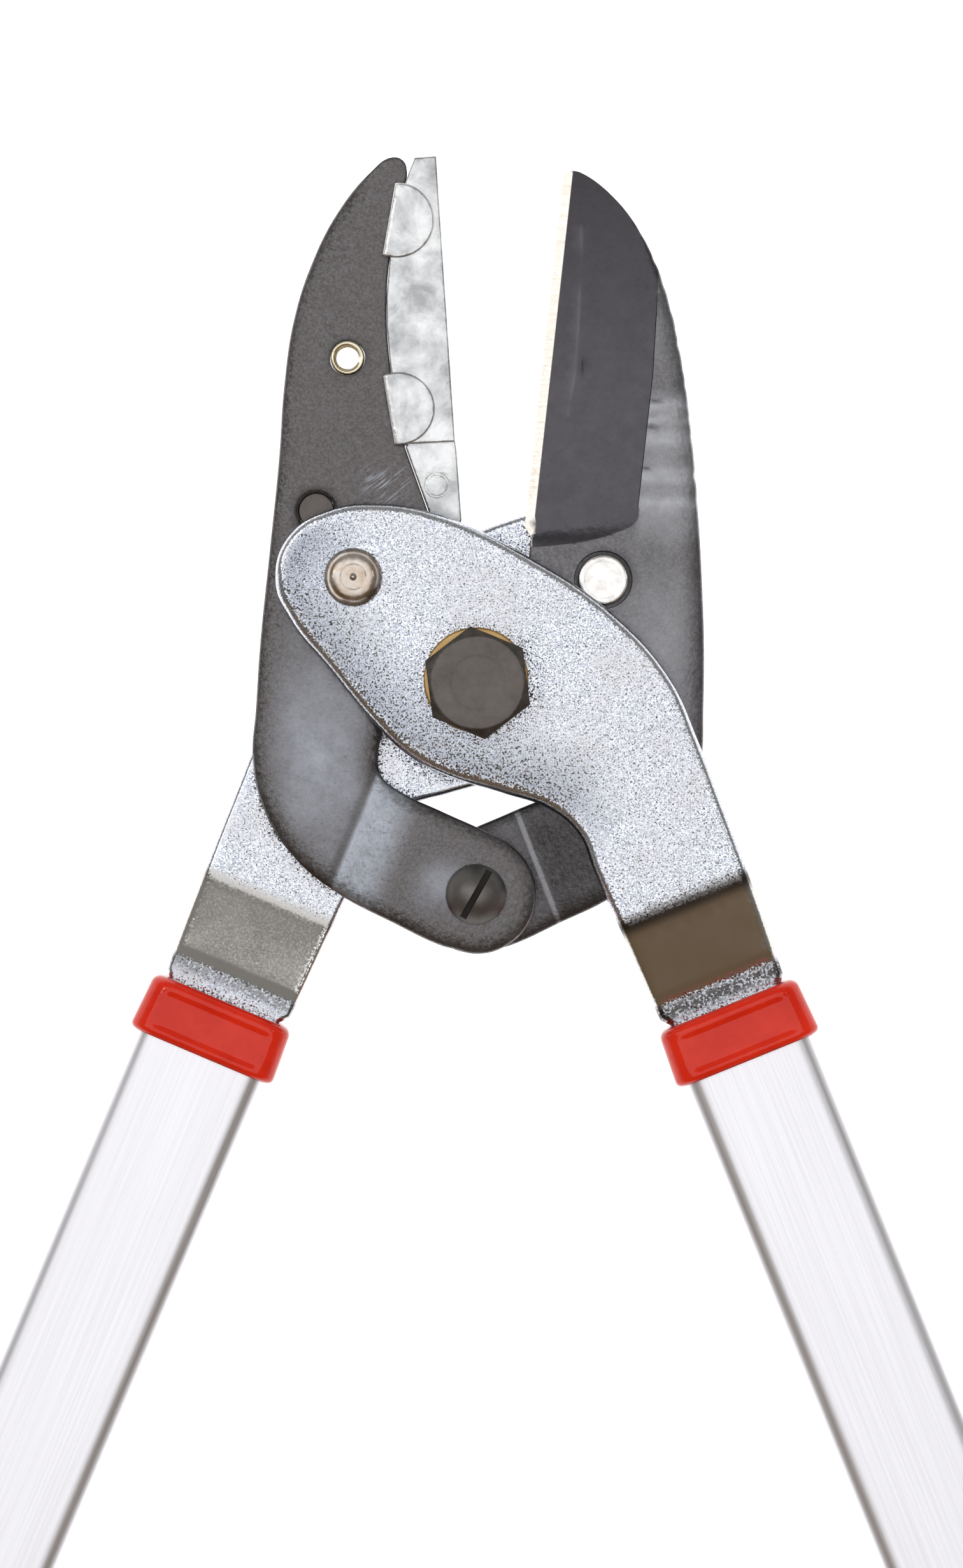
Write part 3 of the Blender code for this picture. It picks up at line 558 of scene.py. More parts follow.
def forgedTone(tree, place, tone, dark, paleTone):
    # oxide in clouds and fine specks, paler where it is rubbed through and where a highlight is painted on;
    # painted shade goes on last
    cloud = ranged(tree, cloudOf(tree, place, 6.0, 6.0), 0.0, 1.0)
    specks = ranged(tree, cloudOf(tree, place, 0.45, 2.0), 0.0, 0.22, 0.35, 0.75)
    oxide = blend(tree, specks, blend(tree, cloud, dark, tone), paleTone)
    patchy = ranged(tree, cloudOf(tree, place, 4.0), 0.75, 1.25)
    # paler where rubbed, and where a highlight is painted on
    worn = blend(tree, times(tree, mask(tree, "wearAndHighlight"), patchy, True), oxide, paleTone)
    slanted = addNode(tree, "Mapping", {"Vector": place, "Rotation": (0, 0, math.radians(-38))})
    streaks = strokesOf(tree, slanted.outputs["Vector"], (4.0, 0.35, 4.0), 1.0)
    scuffs = times(tree, mask(tree, "scuffed"), ranged(tree, streaks, 0.0, 1.0, 0.5, 0.68))
    worn = blend(tree, scuffs, worn, paleTone)
    # painted shade goes on last, where the piece marks it darker
    return blend(tree, mask(tree, "paintedShade"), worn, paintedShadeTone), cloud


def forgedSkin(tree, place, lean=0.35):
    grain = cloudOf(tree, place, 0.8, 3.0)
    return tilted(tree, place, 0.9, lean, bumped(tree, grain, 0.12, 0.8))


def blackenedForging():
    # black oxide on forged carbon steel: warm grey, satin, cloudy, with rubbed patches and painted highlights
    material, tree, shader, place = newMaterial("blackenedForging", Metallic=1.0)
    tone, cloud = forgedTone(tree, place, "#645F5E", "#54504F", "#A6ABB5")
    finishOff(tree, shader, tone, ranged(tree, cloud, 0.34, 0.46, 0.0, 1.0), forgedSkin(tree, place))
    return material


def groundBladeSteel():
    # the same steel, milled to a matt dark hollow and honed to a bright bevel
    look = {
        "milled": "#5B595E", "milledDark": "#515055", "milledTip": "#454347",
        "honed": "#FAF4ED", "honeLine": "#ECE3D8", "creaseLine": "#8C8A90",
    }
    material, tree, shader, place = newMaterial("groundBladeSteel", Metallic=1.0)
    forged = forgedTone(tree, place, "#6C6A6D", "#595759", "#B2B4BA")[0]
    cloud = ranged(tree, cloudOf(tree, place, 3.0, 5.0), 0.0, 1.0)
    along = addNode(tree, "SeparateXYZ", {"Vector": place}).outputs["Y"]
    milled = blend(tree, cloud, look["milledDark"], look["milled"])
    milled = blend(tree, ranged(tree, along, 0.0, 1.0, 0.055, 0.095), milled, look["milledTip"])
    # painted shade on the milled hollow as well
    milled = blend(tree, mask(tree, "paintedShade"), milled, paintedShadeTone)
    strokes = strokesOf(tree, place, (6.0, 0.5, 6.0))
    honed = blend(tree, ranged(tree, strokes, 0.0, 1.0, 0.35, 0.65), look["honeLine"], look["honed"])
    tone = blend(tree, mask(tree, "honed"), blend(tree, mask(tree, "ground"), forged, milled), honed)
    # a paler line painted along the crease: a painted highlight standing in for its shallow groove
    tone = blend(tree, mask(tree, "creaseHighlight"), tone, look["creaseLine"])
    rough = ranged(tree, mask(tree, "honed"), 0.4, 0.36, 0.0, 1.0)
    finishOff(tree, shader, tone, rough, forgedSkin(tree, place, 0.25))
    return material


def castZincAlloy():
    # die-cast zinc alloy: pale, softly mottled by the flow of the metal
    material, tree, shader, place = newMaterial("castZincAlloy", Metallic=1.0)
    flow = cloudOf(tree, place, 6.5, 6.0, 0.25)
    tone = blend(tree, ranged(tree, flow, 0.0, 1.0, 0.36, 0.64), "#9C9EA0", "#E8EAEC")
    # painted highlight on the dropped edges of the lugs
    tone = blend(tree, mask(tree, "wearAndHighlight"), tone, "#FFFFFF")
    normal = tilted(tree, place, 0.8, 0.16, bumped(tree, flow, 0.5, 0.8))
    finishOff(tree, shader, tone, ranged(tree, flow, 0.26, 0.4), normal)
    return material


def plainMetal(name, tone, dark, roughness, size=1.2, lean=0.12):
    # a metal surface with cloudy tone and roughness and a fine grain
    material, tree, shader, place = newMaterial(name, Metallic=1.0)
    cloud = cloudOf(tree, place, size * 3)
    mixed = blend(tree, ranged(tree, cloud, 0.0, 1.0), dark, tone)
    # painted shade where a piece marks it, such as the floor of the screw slot
    mixed = blend(tree, mask(tree, "paintedShade"), mixed, paintedShadeTone)
    rough = ranged(tree, cloud, roughness - 0.06, roughness + 0.06)
    finishOff(tree, shader, mixed, rough, tilted(tree, place, size / 2, lean))
    return material


def brassyZincRivet():
    # zinc with a warm chromate film; the flat upset end is worn nearly white
    material, tree, shader, place = newMaterial("brassyZincRivet", Metallic=1.0)
    high = addNode(tree, "SeparateXYZ", {"Vector": place}).outputs["Z"]
    cloud = cloudOf(tree, place, 2.2, 5.0)
    film = blend(tree, ranged(tree, cloud, 0.0, 1.0), "#AC9985", "#D4CECA")
    worn = blend(tree, ranged(tree, cloud, 0.0, 1.0, 0.3, 0.6), "#C4C2C0", "#EEECEA")
    tone = blend(tree, ranged(tree, high, 1.0, 0.0, -0.001, 0.001), film, worn)
    finishOff(tree, shader, tone, ranged(tree, cloud, 0.2, 0.32), tilted(tree, place, 1.0, 0.12))
    return material


def anodisedAluminium():
    # extruded and satin anodised: pale lavender grey with faint lines along the tube
    material, tree, shader, place = newMaterial("anodisedAluminium", Metallic=1.0)
    lines = strokesOf(tree, place, (0.4, 40.0, 0.4))
    tone = blend(tree, ranged(tree, lines, 0.0, 1.0), "#E7E7ED", "#EDEDF2")
    finishOff(tree, shader, tone, ranged(tree, lines, 0.36, 0.44), bumped(tree, lines, 0.012, 0.5))
    return material


def plainPlastic(name, tone, dark, roughness, size, bite, ior=1.5, gloss=0.5):
    # a moulded plastic with a slight waviness
    material, tree, shader, place = newMaterial(name, IOR=ior, Specular_IOR_Level=gloss)
    cloud = cloudOf(tree, place, size * 4)
    mixed = blend(tree, ranged(tree, cloud, 0.0, 1.0), dark, tone)
    rough = ranged(tree, cloud, roughness - 0.04, roughness + 0.05)
    finishOff(tree, shader, mixed, rough, bumped(tree, cloudOf(tree, place, size, 2.0), bite))
    return material


materials = {
    "plate_zinc": zincPlatedSteel(),
    "jaw_steel": blackenedForging(),
    "blade_steel": groundBladeSteel(),
    "anvil_alloy": castZincAlloy(),
    "bush_brass": plainMetal("turnedBrass", "#EDE6D2", "#CFC3A4", 0.24),
    "bolt_steel": plainMetal("phosphatedSteel", "#6D6865", "#534F4C", 0.4, 1.0, 0.2),
    "washer_zinc": plainMetal("yellowPassivatedZinc", "#B99A68", "#8A6C44", 0.28),
    "rivet_zinc": brassyZincRivet(),
    "screw_black": plainMetal("blackenedScrewSteel", "#7B7977", "#686664", 0.44),
    "ferrule_red": plainPlastic("glossyRedAbs", "#CF2A12", "#BF200C", 0.08, 1.5, 0.05, 1.45, 0.35),
    "tube_aluminium": anodisedAluminium(),
    "insert_plastic": plainPlastic("blackNylon", "#1C1C1D", "#141415", 0.5, 1.0, 0.03),
    "pin_steel": plainMetal("drawnSteelPin", "#9A9A98", "#858583", 0.35),
    "grip_vinyl": plainPlastic("dippedRedVinyl", "#C22A1E", "#AD2015", 0.42, 0.8, 0.06),
    "cap_plastic": plainPlastic("blackPolyethylene", "#222223", "#19191A", 0.45, 1.2, 0.05),
}
print("materials ready")


def addPiece(name, mesh, slotName, body, nodes, place=upright):
    mesh.materials.clear()
    mesh.materials.append(materials[slotName])
    piece = placed(name, mesh)
    piece.matrix_world = place
    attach(piece, body)
    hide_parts(*nodes)
    return piece


# lever plates
plate = {
    "rim": 1.6,  # the press rolls the edge over
    "bend": ((49, 0), (52.5, 0.34), (65.4, 0.34), (66.2, 0.52), (67.2, 0.52), (68.4, 0)),  # station and slope
    "droop": 1.2,
    "droopWidth": 14.5,
    "neck": 11.0,
    "tang": 8.5,
    "tangStep": 75.0,
    "tangEnd": 108.0,
    "boltHole": 6.15,
    "rivetHole": 3.85,
    "lowerEdge": [
        (13.2, -22.9), (5.0, -20.2), (-6.2, -16.8), (-12.6, -13.4), (-18.4, -8.1), (-27.3, 2.4),
        (-34.8, 11.8),
    ],
}


def plateOutline():
    axis, neck, tang = handle["offset"], plate["neck"], plate["tang"]
    step, end = plate["tangStep"], plate["tangEnd"]
    head = [
        (-37.4, 18.6), (-34.9, 27.0), (-27.6, 31.7), (-18.6, 32.9), (-7.8, 31.1),
        (9.6, 23.1), (25.4, 12.4), (35.5, 1.0), (40.5, -10.0), onHandle(36, 33.4), onHandle(52, 33.0),
    ]
    tongue = [
        (68.6, 32.3), (70.6, 32.2), (72.0, axis + neck), (step, axis + neck), (step, axis + tang),
        (end - 3, axis + tang), (end, axis + tang - 3), (end, axis - tang + 3), (end - 3, axis - tang),
        (step, axis - tang), (step, axis - neck), (71.8, axis - neck), (70.2, 7.9), (65.0, 7.7),
    ]
    inner = [onHandle(52, 7.3), onHandle(40, 6.9), (18.7, -27.4), *plate["lowerEdge"]]
    return smoothLoop(head + [(*onHandle(*point), "corner") for point in tongue] + inner)


def plateLevel(x, y):
    drop = stack["plateThick"] / 2 - stack["plateTop"]
    at, slope = np.array(plate["bend"], float).T
    fine = np.linspace(at[0], at[-1], 200)
    fall = np.cumsum(np.interp(fine, at, slope))
    return np.interp(alongHandle(x, y), fine, fall / fall[-1] * drop)


def plateMesh():
    holes = circle((0, 0), plate["boltHole"]), circle(jawPivot, plate["rivetHole"])
    loops = [plateOutline(), *(hole[::-1] for hole in holes)]
    stations = [*np.arange(49, 54, 0.7), *np.arange(56, 65, 2.5), *np.arange(65.2, 72.5, 0.4)]
    guides = [line(onHandle(at, 5.5), onHandle(at, 35), 0.9) for at in stations]
    lowerEdge = [np.array([(-34, 26), (-37.4, 18.6), *plate["lowerEdge"][::-1]])]
    def drooped(x, y):
        # the plate falls away a little towards its lower left edge
        return np.clip(1 - distanceTo(np.c_[x, y], lowerEdge) / plate["droopWidth"], 0, 1)
    def top(x, y, edge, hole):
        droop = plate["droop"] * drooped(x, y) ** 2
        return stack["plateTop"] + plateLevel(x, y) - rolled(edge, plate["rim"]) - rolled(hole, 0.3) - droop
    def bottom(x, y, edge, hole):
        low = stack["plateTop"] - stack["plateThick"]
        return low + plateLevel(x, y) + rolled(edge, plate["rim"] * 0.6) + rolled(hole, 0.3)
    def ironed(x, y, edge, hole):
        at = alongHandle(x, y)
        return ease(at, 49.5, 52.0) - 0.85 * ease(at, 66.7, 67.7)
    # painted shade: darker towards the drooping lower left edge, and on both faces from the second bend on
    def droopShade(x, y, edge, hole):
        end = 0.45 * ease(alongHandle(x, y), 66.5, 68.5)
        return 0.95 * drooped(x, y) * ease(edge, 0.8, 2.5) + end, end
    def rubbedRim(x, y, edge, hole):
        return 1 - ease(edge, 0.9, 1.8)
    def bendShade(x, y, edge, hole):
        # painted shade in the two bends, more of it on the outer face
        at = alongHandle(x, y)
        upper = ease(at, 49.0, 51.4) * (1 - ease(at, 51.8, 54.6))
        lower = ease(at, 67.3, 68.8) * (1 - ease(at, 69.8, 72.3))
        inner = 0.3 * upper + 0.6 * ease(at, 67.0, 68.0) * (1 - ease(at, 68.8, 70.4))
        return 0.97 * upper + 0.97 * lower, inner
    masks = {"ironed": ironed, "droopShade": droopShade, "rubbedRim": rubbedRim, "bendShade": bendShade}
    return sheet("leverPlate", loops, top, bottom, roundSteps(plate["rim"]), guides, 1.6, masks)


def buildPlates():
    mesh = plateMesh()
    addPiece("frontLeverPlate", mesh, "plate_zinc", "right_handle", ["front_lever_plate"])
    addPiece("backLeverPlate", mesh, "plate_zinc", "left_handle", ["back_lever_plate"], turnedOver)


# jaws
jaw = {
    "rim": 0.5,
    "pillow": 0.8,  # how far the forging falls away towards its edge
    "pillowWidth": 4.0,
    "armStart": (-23.6, -28.9),
    "armDirection": (0.93, -0.367),
    "anvilBend": (0.0, 1.6, 8.2, 13.2),
    "bladeBend": (0.0, 1.6, 11.6, 13.2),
    "recess": 5.4,
    "recessLevel": 0.7,
    "rivetHole": 4.0,
    "bushHole": 3.27,
    "pinHole": 3.35,
    "screwHole": 3.15,
}


def jawOutline(upper):
    inner = [(-18.3, -13.6), (-17.5, -9.0), (-16.0, 0.0), (-13.4, 10.0)]
    outer = [(-41.4, -14.0), (-39.3, -23.4), (-33.6, -32.3), (-25.0, -39.2), (-15.4, -44.1), (-6.4, -48.3)]
    end = arc(linkPivot, 11.0, 245, 415, 7)
    arm = [(2.0, -27.4), (-6.3, -23.7), (-14.5, -19.8), (-17.6, -17.2)]
    return inner + upper + outer + end + arm


def alongArm(x, y):
    (startX, startY), (dirX, dirY) = jaw["armStart"], jaw["armDirection"]
    return (x - startX) * dirX + (y - startY) * dirY


def armRows(stations):
    # lines across the arm
    (startX, startY), (dirX, dirY) = jaw["armStart"], jaw["armDirection"]
    acrossX, acrossY = 16 * dirY, 16 * dirX
    rows = []
    for at in stations:
        x, y = startX + dirX * at, startY + dirY * at
        rows.append(line((x + acrossX, y - acrossY), (x - acrossX, y + acrossY), 0.9))
    return rows


def forgedDrop(x, y, edge, soft):
    # the rounded edge of a forging, with hammered unevenness
    share = np.clip(1 - edge / jaw["pillowWidth"], 0, 1)
    hammered = 0.035 * (1 + lumps(x, y, 9.0))
    return rolled(edge, jaw["rim"]) * (0.4 + 0.6 * soft) + jaw["pillow"] * soft * share**2.4 + hammered


def anvilJawMesh():
    upper = [
        (-9.4, 20.0), (-7.6, 26.6, "corner"), (-13.75, 43.4, "corner"), (-16.5, 57.5),
        (-17.4, 70.0), (-16.8, 79.0), (-14.1, 92.2, "corner"), (-13.8, 94.4), (-14.5, 96.3), (-16.5, 96.9),
        (-20.6, 94.0), (-26.3, 87.0), (-31.3, 77.0), (-34.5, 66.5), (-36.1, 55.0), (-37.0, 41.0),
        (-38.5, 25.0), (-40.2, 7.0), (-40.9, -5.0),
    ]
    loops = [smoothLoop(jawOutline(upper))]
    holes = (jawPivot, "rivetHole"), (bushAt, "bushHole"), (stopPinAt, "pinHole"), (linkPivot, "screwHole")
    loops += [circle(at, jaw[hole], 0.4)[::-1] for at, hole in holes]
    guides = armRows([-1.6, -1.1, -0.6, 0, 0.5, 0.9, 1.4, 4, 6.5, 8.2, 9.4, 10.6, 11.9, 13.2])
    guides += [closedRing(circle(jawPivot, jaw["recess"] + out, 0.4)) for out in (-0.15, 0)]
    guides += [closedRing(circle(stopPinAt, jaw["pinHole"] + out, 0.4)) for out in (0.4, 0.8)]
    def soft(x, y):
        return 1 - 0.95 * ease(x, -24, -20) * ease(y, 22, 30)
    def level(x, y):
        return jog(alongArm(x, y), *jaw["anvilBend"], stack["armLift"])
    def top(x, y, edge, hole):
        countersink = 0.2 * np.clip(1 - (apart(x, y, stopPinAt) - jaw["pinHole"]) / 0.8, 0, 1)
        return stack["jawHalf"] + level(x, y) - forgedDrop(x, y, edge, soft(x, y)) - countersink
    def bottom(x, y, edge, hole):
        z = -stack["jawHalf"] + level(x, y) + forgedDrop(x, y, edge, soft(x, y))
        return np.where(apart(x, y, jawPivot) < jaw["recess"] - 0.08, -jaw["recessLevel"], z)
    # rubbed wear on the body, and a painted highlight on the arm: its slope, a line along its first bend and
    # a glow near the link screw
    def wearAndHighlight(x, y, edge, hole):
        body = spot(x, y, (-29, -13), 10, 18) * ease(edge, 0.8, 5.5)
        at = alongArm(x, y)
        glow = 0.5 * spot(x, y, (-6.5, -37), 4, 3.6)
        arm = ease(at, 0.2, 1.0) * (0.95 - 0.93 * ease(at, 4.5, 11.5) + glow) + 0.5 * band(at, 0.9, 0.4)
        return np.clip(0.62 * body * (1 - ease(at, -0.5, 0.5)) + arm, 0, 1)
    def scuffed(x, y, edge, hole):
        return 0.8 * spot(x, y, (-17, 36.5), 4, 3.2, 4)
    # painted shade: darker in the crease of the arm, in the groove round the stop pin and round the bush
    def paintedShade(x, y, edge, hole):
        crease = 0.4 * band(alongArm(x, y), -0.6, 0.7) * (y < -15)
        pin = 0.85 * (1 - ease(apart(x, y, stopPinAt), 3.6, 4.6))
        return crease + pin + 0.5 * (1 - ease(apart(x, y, bushAt), 3.3, 4.0))
    masks = {"wearAndHighlight": wearAndHighlight, "paintedShade": paintedShade, "scuffed": scuffed}
    return sheet("anvilJaw", loops, top, bottom, roundSteps(jaw["rim"], 4), guides, 1.6, masks)


blade = {
    "tip": (15.15, 94.3),
    "heel": (8.65, 30.9),
    "bevel": 1.6,
    "bevelSlope": 0.2,
    "web": 0.55,  # half thickness behind the bevel
    "hollowSlope": 0.09,
    "runout": 3.2,
    "slotHalf": 3.55,
    "slide": (-3.3, 0.45),  # how far the link screw slides in its slot
    "bands": ((51.4, 1.0), (48.7, 0.6), (45.3, 1.4), (38.5, 1.5), (33.6, 1.3)),  # rubbed: place and width
    "nicks": ((32.1, 52.3), (31.6, 47.6), (30.7, 39.9)),
    "crease": ((18.4, 84.0), (18.5, 80.0), (18.0, 66.0), (17.4, 57.0), (16.2, 50.0)),
}


def mirrored(points):
    return [(-point[0], *point[1:]) for point in points]


def bladeMesh():
    upper = [
        (-9.3, 22.0), (-9.8, 27.0, "corner"), (-8.4, 29.2, "corner"), (-8.65, 30.9, "corner"),
        (-15.15, 94.3, "corner"), (-16.9, 94.8, "corner"), (-18.0, 94.6), (-24.1, 90.2), (-30.2, 82.0),
        (-34.3, 72.0), (-37.1, 60.0), (-39.2, 45.0), (-40.5, 31.0), (-41.3, 18.0), (-41.7, 8.0),
        (-41.7, -4.0),
    ]
    farEnd = linkPivot[0] + blade["slide"][0], linkPivot[1] + blade["slide"][1]
    slot = arc(linkPivot, blade["slotHalf"], -90, 90, 13) + arc(farEnd, blade["slotHalf"], 90, 270, 13)
    rivetAt = (-jawPivot[0], jawPivot[1])
    outline = smoothLoop(mirrored(jawOutline(upper)))
    x, y = outline.T
    chipped = ease(x, 28, 31) * ease(y, 30, 40) * (1 - ease(y, 82, 88))
    outline = outline + np.c_[0.28 * chipped * np.minimum(lumps(x, y, 2.2, 4.0), 0.1), 0 * y]
    loops = [outline, circle(rivetAt, jaw["rivetHole"], 0.4)[::-1]]
    loops.append(wound(np.array(mirrored(slot)))[::-1])
    hollow = smoothLoop(mirrored([
        (-3.0, 100.0, "corner"), (-34.8, 100.0, "corner"), (-32.9, 76.5, "corner"), (-31.9, 57.0, "corner"),
        (-29.4, 33.0, "corner"), (-29.3, 30.4), (-25.5, 28.0), (-19.0, 26.3), (-10.2, 25.2),
        (-3.0, 25.0, "corner"),
    ]), 0.5)
    def behindEdge(x, y):
        return besideLine(x, y, blade["tip"], blade["heel"])
    inward = np.array((0.995, 0.102))
    bevelStart = [np.array(blade[end]) + blade["bevel"] * inward for end in ("tip", "heel")]
    bevelEnd = [point + 0.14 * inward for point in bevelStart]
    guides = [line(*bevelStart, 0.5), line(*bevelEnd, 0.5)]
    guides += [closedRing(hollow), closedRing(inset(hollow, 0.15))]
    guides += [closedRing(circle(rivetAt, jaw["recess"] + out, 0.4)) for out in (-0.15, 0)]
    guides += [inset(hollow, out) for out in (0.8, 1.6, 2.4, 3.2)]
    crease = np.array(blade["crease"])
    creaseLine = np.vstack([line(a, b, 0.7) for a, b in zip(crease, crease[1:])])
    guides += [creaseLine + (beside, 0) for beside in (-0.3, 0, 0.5)]
    guides += [line((x, 56.6), (x - 0.3, 61.4), 0.5) for x in (18.4, 18.7, 19.0, 19.3)]
    guides += [inset(hollow, -out) for out in (0.5, 1.1)]
    rows = armRows([0, 0.5, 1.0, 1.6, 4, 6.5, 9, 11.6, 12.1, 12.5, 12.85, 13.2, 13.5, 13.8])
    guides += [row * (-1, 1) for row in rows]
    def ground(x, y):
        points = np.c_[x, y]
        return isInside(points, [hollow]) & (distanceTo(points, [closedRing(hollow)]) > 0.07)
    def cut(x, y, z):
        behind = behindEdge(x, y)
        depth = blade["web"] + np.maximum(behind - blade["bevel"], 0) * blade["hollowSlope"]
        depth = np.where(behind < blade["bevel"], 0.23 + behind * blade["bevelSlope"], depth)
        floor = hollow[(hollow[:, 1] < 31) & (hollow[:, 0] < 30) & (hollow[:, 0] > 3)]
        near = distanceTo(np.c_[x, y], [floor[np.argsort(floor[:, 0])]])
        run = np.clip(1 - near / blade["runout"], 0, 1) ** 2
        run = np.where(behind < blade["bevel"], 0, run)
        depth = depth + np.maximum(z - depth, 0) * run
        return np.where(ground(x, y), np.minimum(z, depth), z)
    def level(x, y):
        return -jog(alongArm(-x, y), *jaw["bladeBend"], stack["armLift"])
    def soft(x, y):
        return 1 - 0.8 * ease(-x, -16, -12) * ease(y, 5, 12)
    def top(x, y, edge, hole):
        nick = spot(x, y, (18.7, 59), 0.3, 1.5) - spot(x, y, (19.1, 58.6), 0.3, 1.3)
        z = cut(x, y, stack["jawHalf"] - forgedDrop(x, y, edge, soft(x, y))) + level(x, y) + 0.1 * nick
        return np.where(apart(x, y, rivetAt) < jaw["recess"] - 0.08, jaw["recessLevel"], z)
    def bottom(x, y, edge, hole):
        return level(x, y) - cut(x, y, stack["jawHalf"] - forgedDrop(x, y, edge, soft(x, y)))
    def isGround(x, y, edge, hole):
        return ground(x, y) * 1.0
    def isHoned(x, y, edge, hole):
        return (ground(x, y) & (behindEdge(x, y) < blade["bevel"] + 0.05)) * 1.0
    # rubbed bands along the back, and a painted highlight along the ridge of the arm's second bend
    def wearAndHighlight(x, y, edge, hole):
        bands = sum(band(y, at, wide) for at, wide in blade["bands"])
        back = ease(y, 24, 31) * (1 - ease(y, 52, 56)) * ease(x, 28, 30)
        back = back + 0.35 * ease(y, 52, 60) * ease(x, 28, 30)
        arm = ease(alongArm(-x, y), 12.6, 12.9) * (1 - ease(alongArm(-x, y), 13.4, 13.7))
        body = 0.3 * spot(x, y, (33, 4), 9, 20) * ease(edge, 0.8, 5)
        return np.clip(back * (0.3 + 0.4 * bands) + body + 0.3 * arm, 0, 1)
    # painted shadow under the other jaw's arm, a painted shadow ring round the rivet, and painted shade in
    # the nicks
    def paintedShade(x, y, edge, hole):
        at = alongArm(-x, y)
        rim = ease(at, 12.5, 12.8) * (1 - ease(at, 13.5, 13.8))
        arm = ease(at, 0, 3) * (1 - 0.35 * ease(at, 13.4, 14.5)) * (1 - rim)
        nicks = sum(spot(x, y, centre, 0.9, 0.4) for centre in blade["nicks"])
        spindle = 0.6 * spot(x, y, (18.9, 58.8), 0.3, 1.6)
        ring = 0.7 * (1 - ease(apart(x, y, (rivetAt[0] + 0.15, rivetAt[1] + 0.15)), 4.9, 5.6))
        return np.clip(ring + 0.5 * arm + 0.8 * nicks + spindle, 0, 1)
    # painted highlight: a patchy paler line along the crease
    def creaseHighlight(x, y, edge, hole):
        patchy = 0.5 + 1.2 * lumps(x, y, 5.0)
        return 0.26 * np.clip(patchy, 0.1, 0.9) * band(distanceTo(np.c_[x, y], [crease]), 0, 0.35)
    masks = {"ground": isGround, "honed": isHoned, "wearAndHighlight": wearAndHighlight, "creaseHighlight": creaseHighlight, "paintedShade": paintedShade}
    return sheet("blade", loops, top, bottom, roundSteps(jaw["rim"], 4), guides, 1.6, masks)


def buildJaws():
    addPiece("anvilJaw", anvilJawMesh(), "jaw_steel", "anvil_jaw", ["anvil_jaw"])
    addPiece("hookedBlade", bladeMesh(), "blade_steel", "blade", ["blade"])


# anvil
anvil = {
    "barHalf": 3.7,
    "lugTop": 4.4,
    "rim": 0.35,
    "ejector": (-7.8, 36.5),
    "lugs": (((-15.6, 85.2), 6.9, -112, 93), ((-15.0, 50.5), 6.7, -96, 116)),  # centre, radius, start, end
}


def anvilMesh():
    bar = [
        (-8.4, 97.1), (-4.5, 44.5), (-13.45, 44.0), (-15.5, 51.5), (-16.6, 58.5), (-17.2, 65.0),
        (-17.35, 71.0), (-16.75, 79.0), (-14.1, 92.1), (-12.4, 96.8),
    ]
    tail = [
        (-5.3, 50.0), (-4.2, 43.0), (-3.2, 30.2), (-3.6, 28.8), (-4.8, 28.2), (-8.05, 28.4),
        (-13.6, 43.4), (-12.0, 50.0),
    ]
    steps = roundSteps(anvil["rim"], 3)
    def slab(name, points, low, high, spacing=1.6, guides=(), top=None):
        outline = smoothLoop([(*point, "corner") for point in points], 0.5)
        def upper(x, y, edge, hole):
            return high - rolled(edge, anvil["rim"]) - (top(x, y) if top else 0)
        def lower(x, y, edge, hole):
            return low + rolled(edge, anvil["rim"])
        return sheet(name, [outline], upper, lower, steps, guides, spacing)
    whole = slab("anvil", bar, -anvil["barHalf"], anvil["barHalf"])
    def mark(x, y):
        return 0.12 * band(apart(x, y, anvil["ejector"]), 2.1, 0.22)
    rings = [closedRing(circle(anvil["ejector"], r, 0.4)) for r in (1.7, 1.9, 2.1, 2.3, 2.5)]
    parts = [slab("tail", tail, -stack["jawHalf"], stack["jawHalf"], 1.4, rings, mark)]
    base = stack["jawHalf"] + 0.3
    chamfers = []
    for lug in anvil["lugs"]:
        shape = arc(*lug, 25)
        chamfer = shape[-1], shape[0]
        chamfers.append(chamfer)
        inner = np.array(chamfer) + (0.9, 0.15)
        def lean(x, y):
            return 0.3 * np.clip(0.9 - besideLine(x, y, *chamfer), 0, 0.9)
        parts.append(slab("lug", shape, base, anvil["lugTop"], 1.2, [line(*inner, 0.6)], lean))
        parts.append(slab("lugBack", shape, -anvil["lugTop"], -base, 1.2))
    def chamferHighlight(x, y, z):
        # the dropped edge of each lug is painted bright: a painted highlight on its chamfer
        top = z > anvil["lugTop"] - 0.7
        near = [(besideLine(x, y, *chord) < 0.8) & (abs(y - chord[0][1] + 6) < 8) for chord in chamfers]
        return top * sum(near)
    return marked(combined(whole, parts), "wearAndHighlight", chamferHighlight)


def buildAnvil():
    addPiece("anvilInsert", anvilMesh(), "anvil_alloy", "anvil_jaw", ["anvil"])


# fasteners
bolt = {"radius": 6.0, "across": 18.0, "face": 8.45, "turn": math.radians(8), "pitch": 1.75}
rivet = {"shank": 3.7, "head": 5.35, "end": 4.6}
bush = {"bore": 2.1, "radius": 3.12, "pitch": 0.8}
linkScrew = {
    "radius": 3.0, "head": 5.55, "pitch": 1.0, "slot": 1.25, "slotFloor": 1.3, "turn": math.radians(61),
}


def hexLoop(across, turn):
    corners = [(across / math.sqrt(3), turn + math.pi / 2 + math.pi / 3 * i) for i in range(6)]
    return smoothLoop([(r * math.cos(a), r * math.sin(a), "corner") for r, a in corners], 0.5)


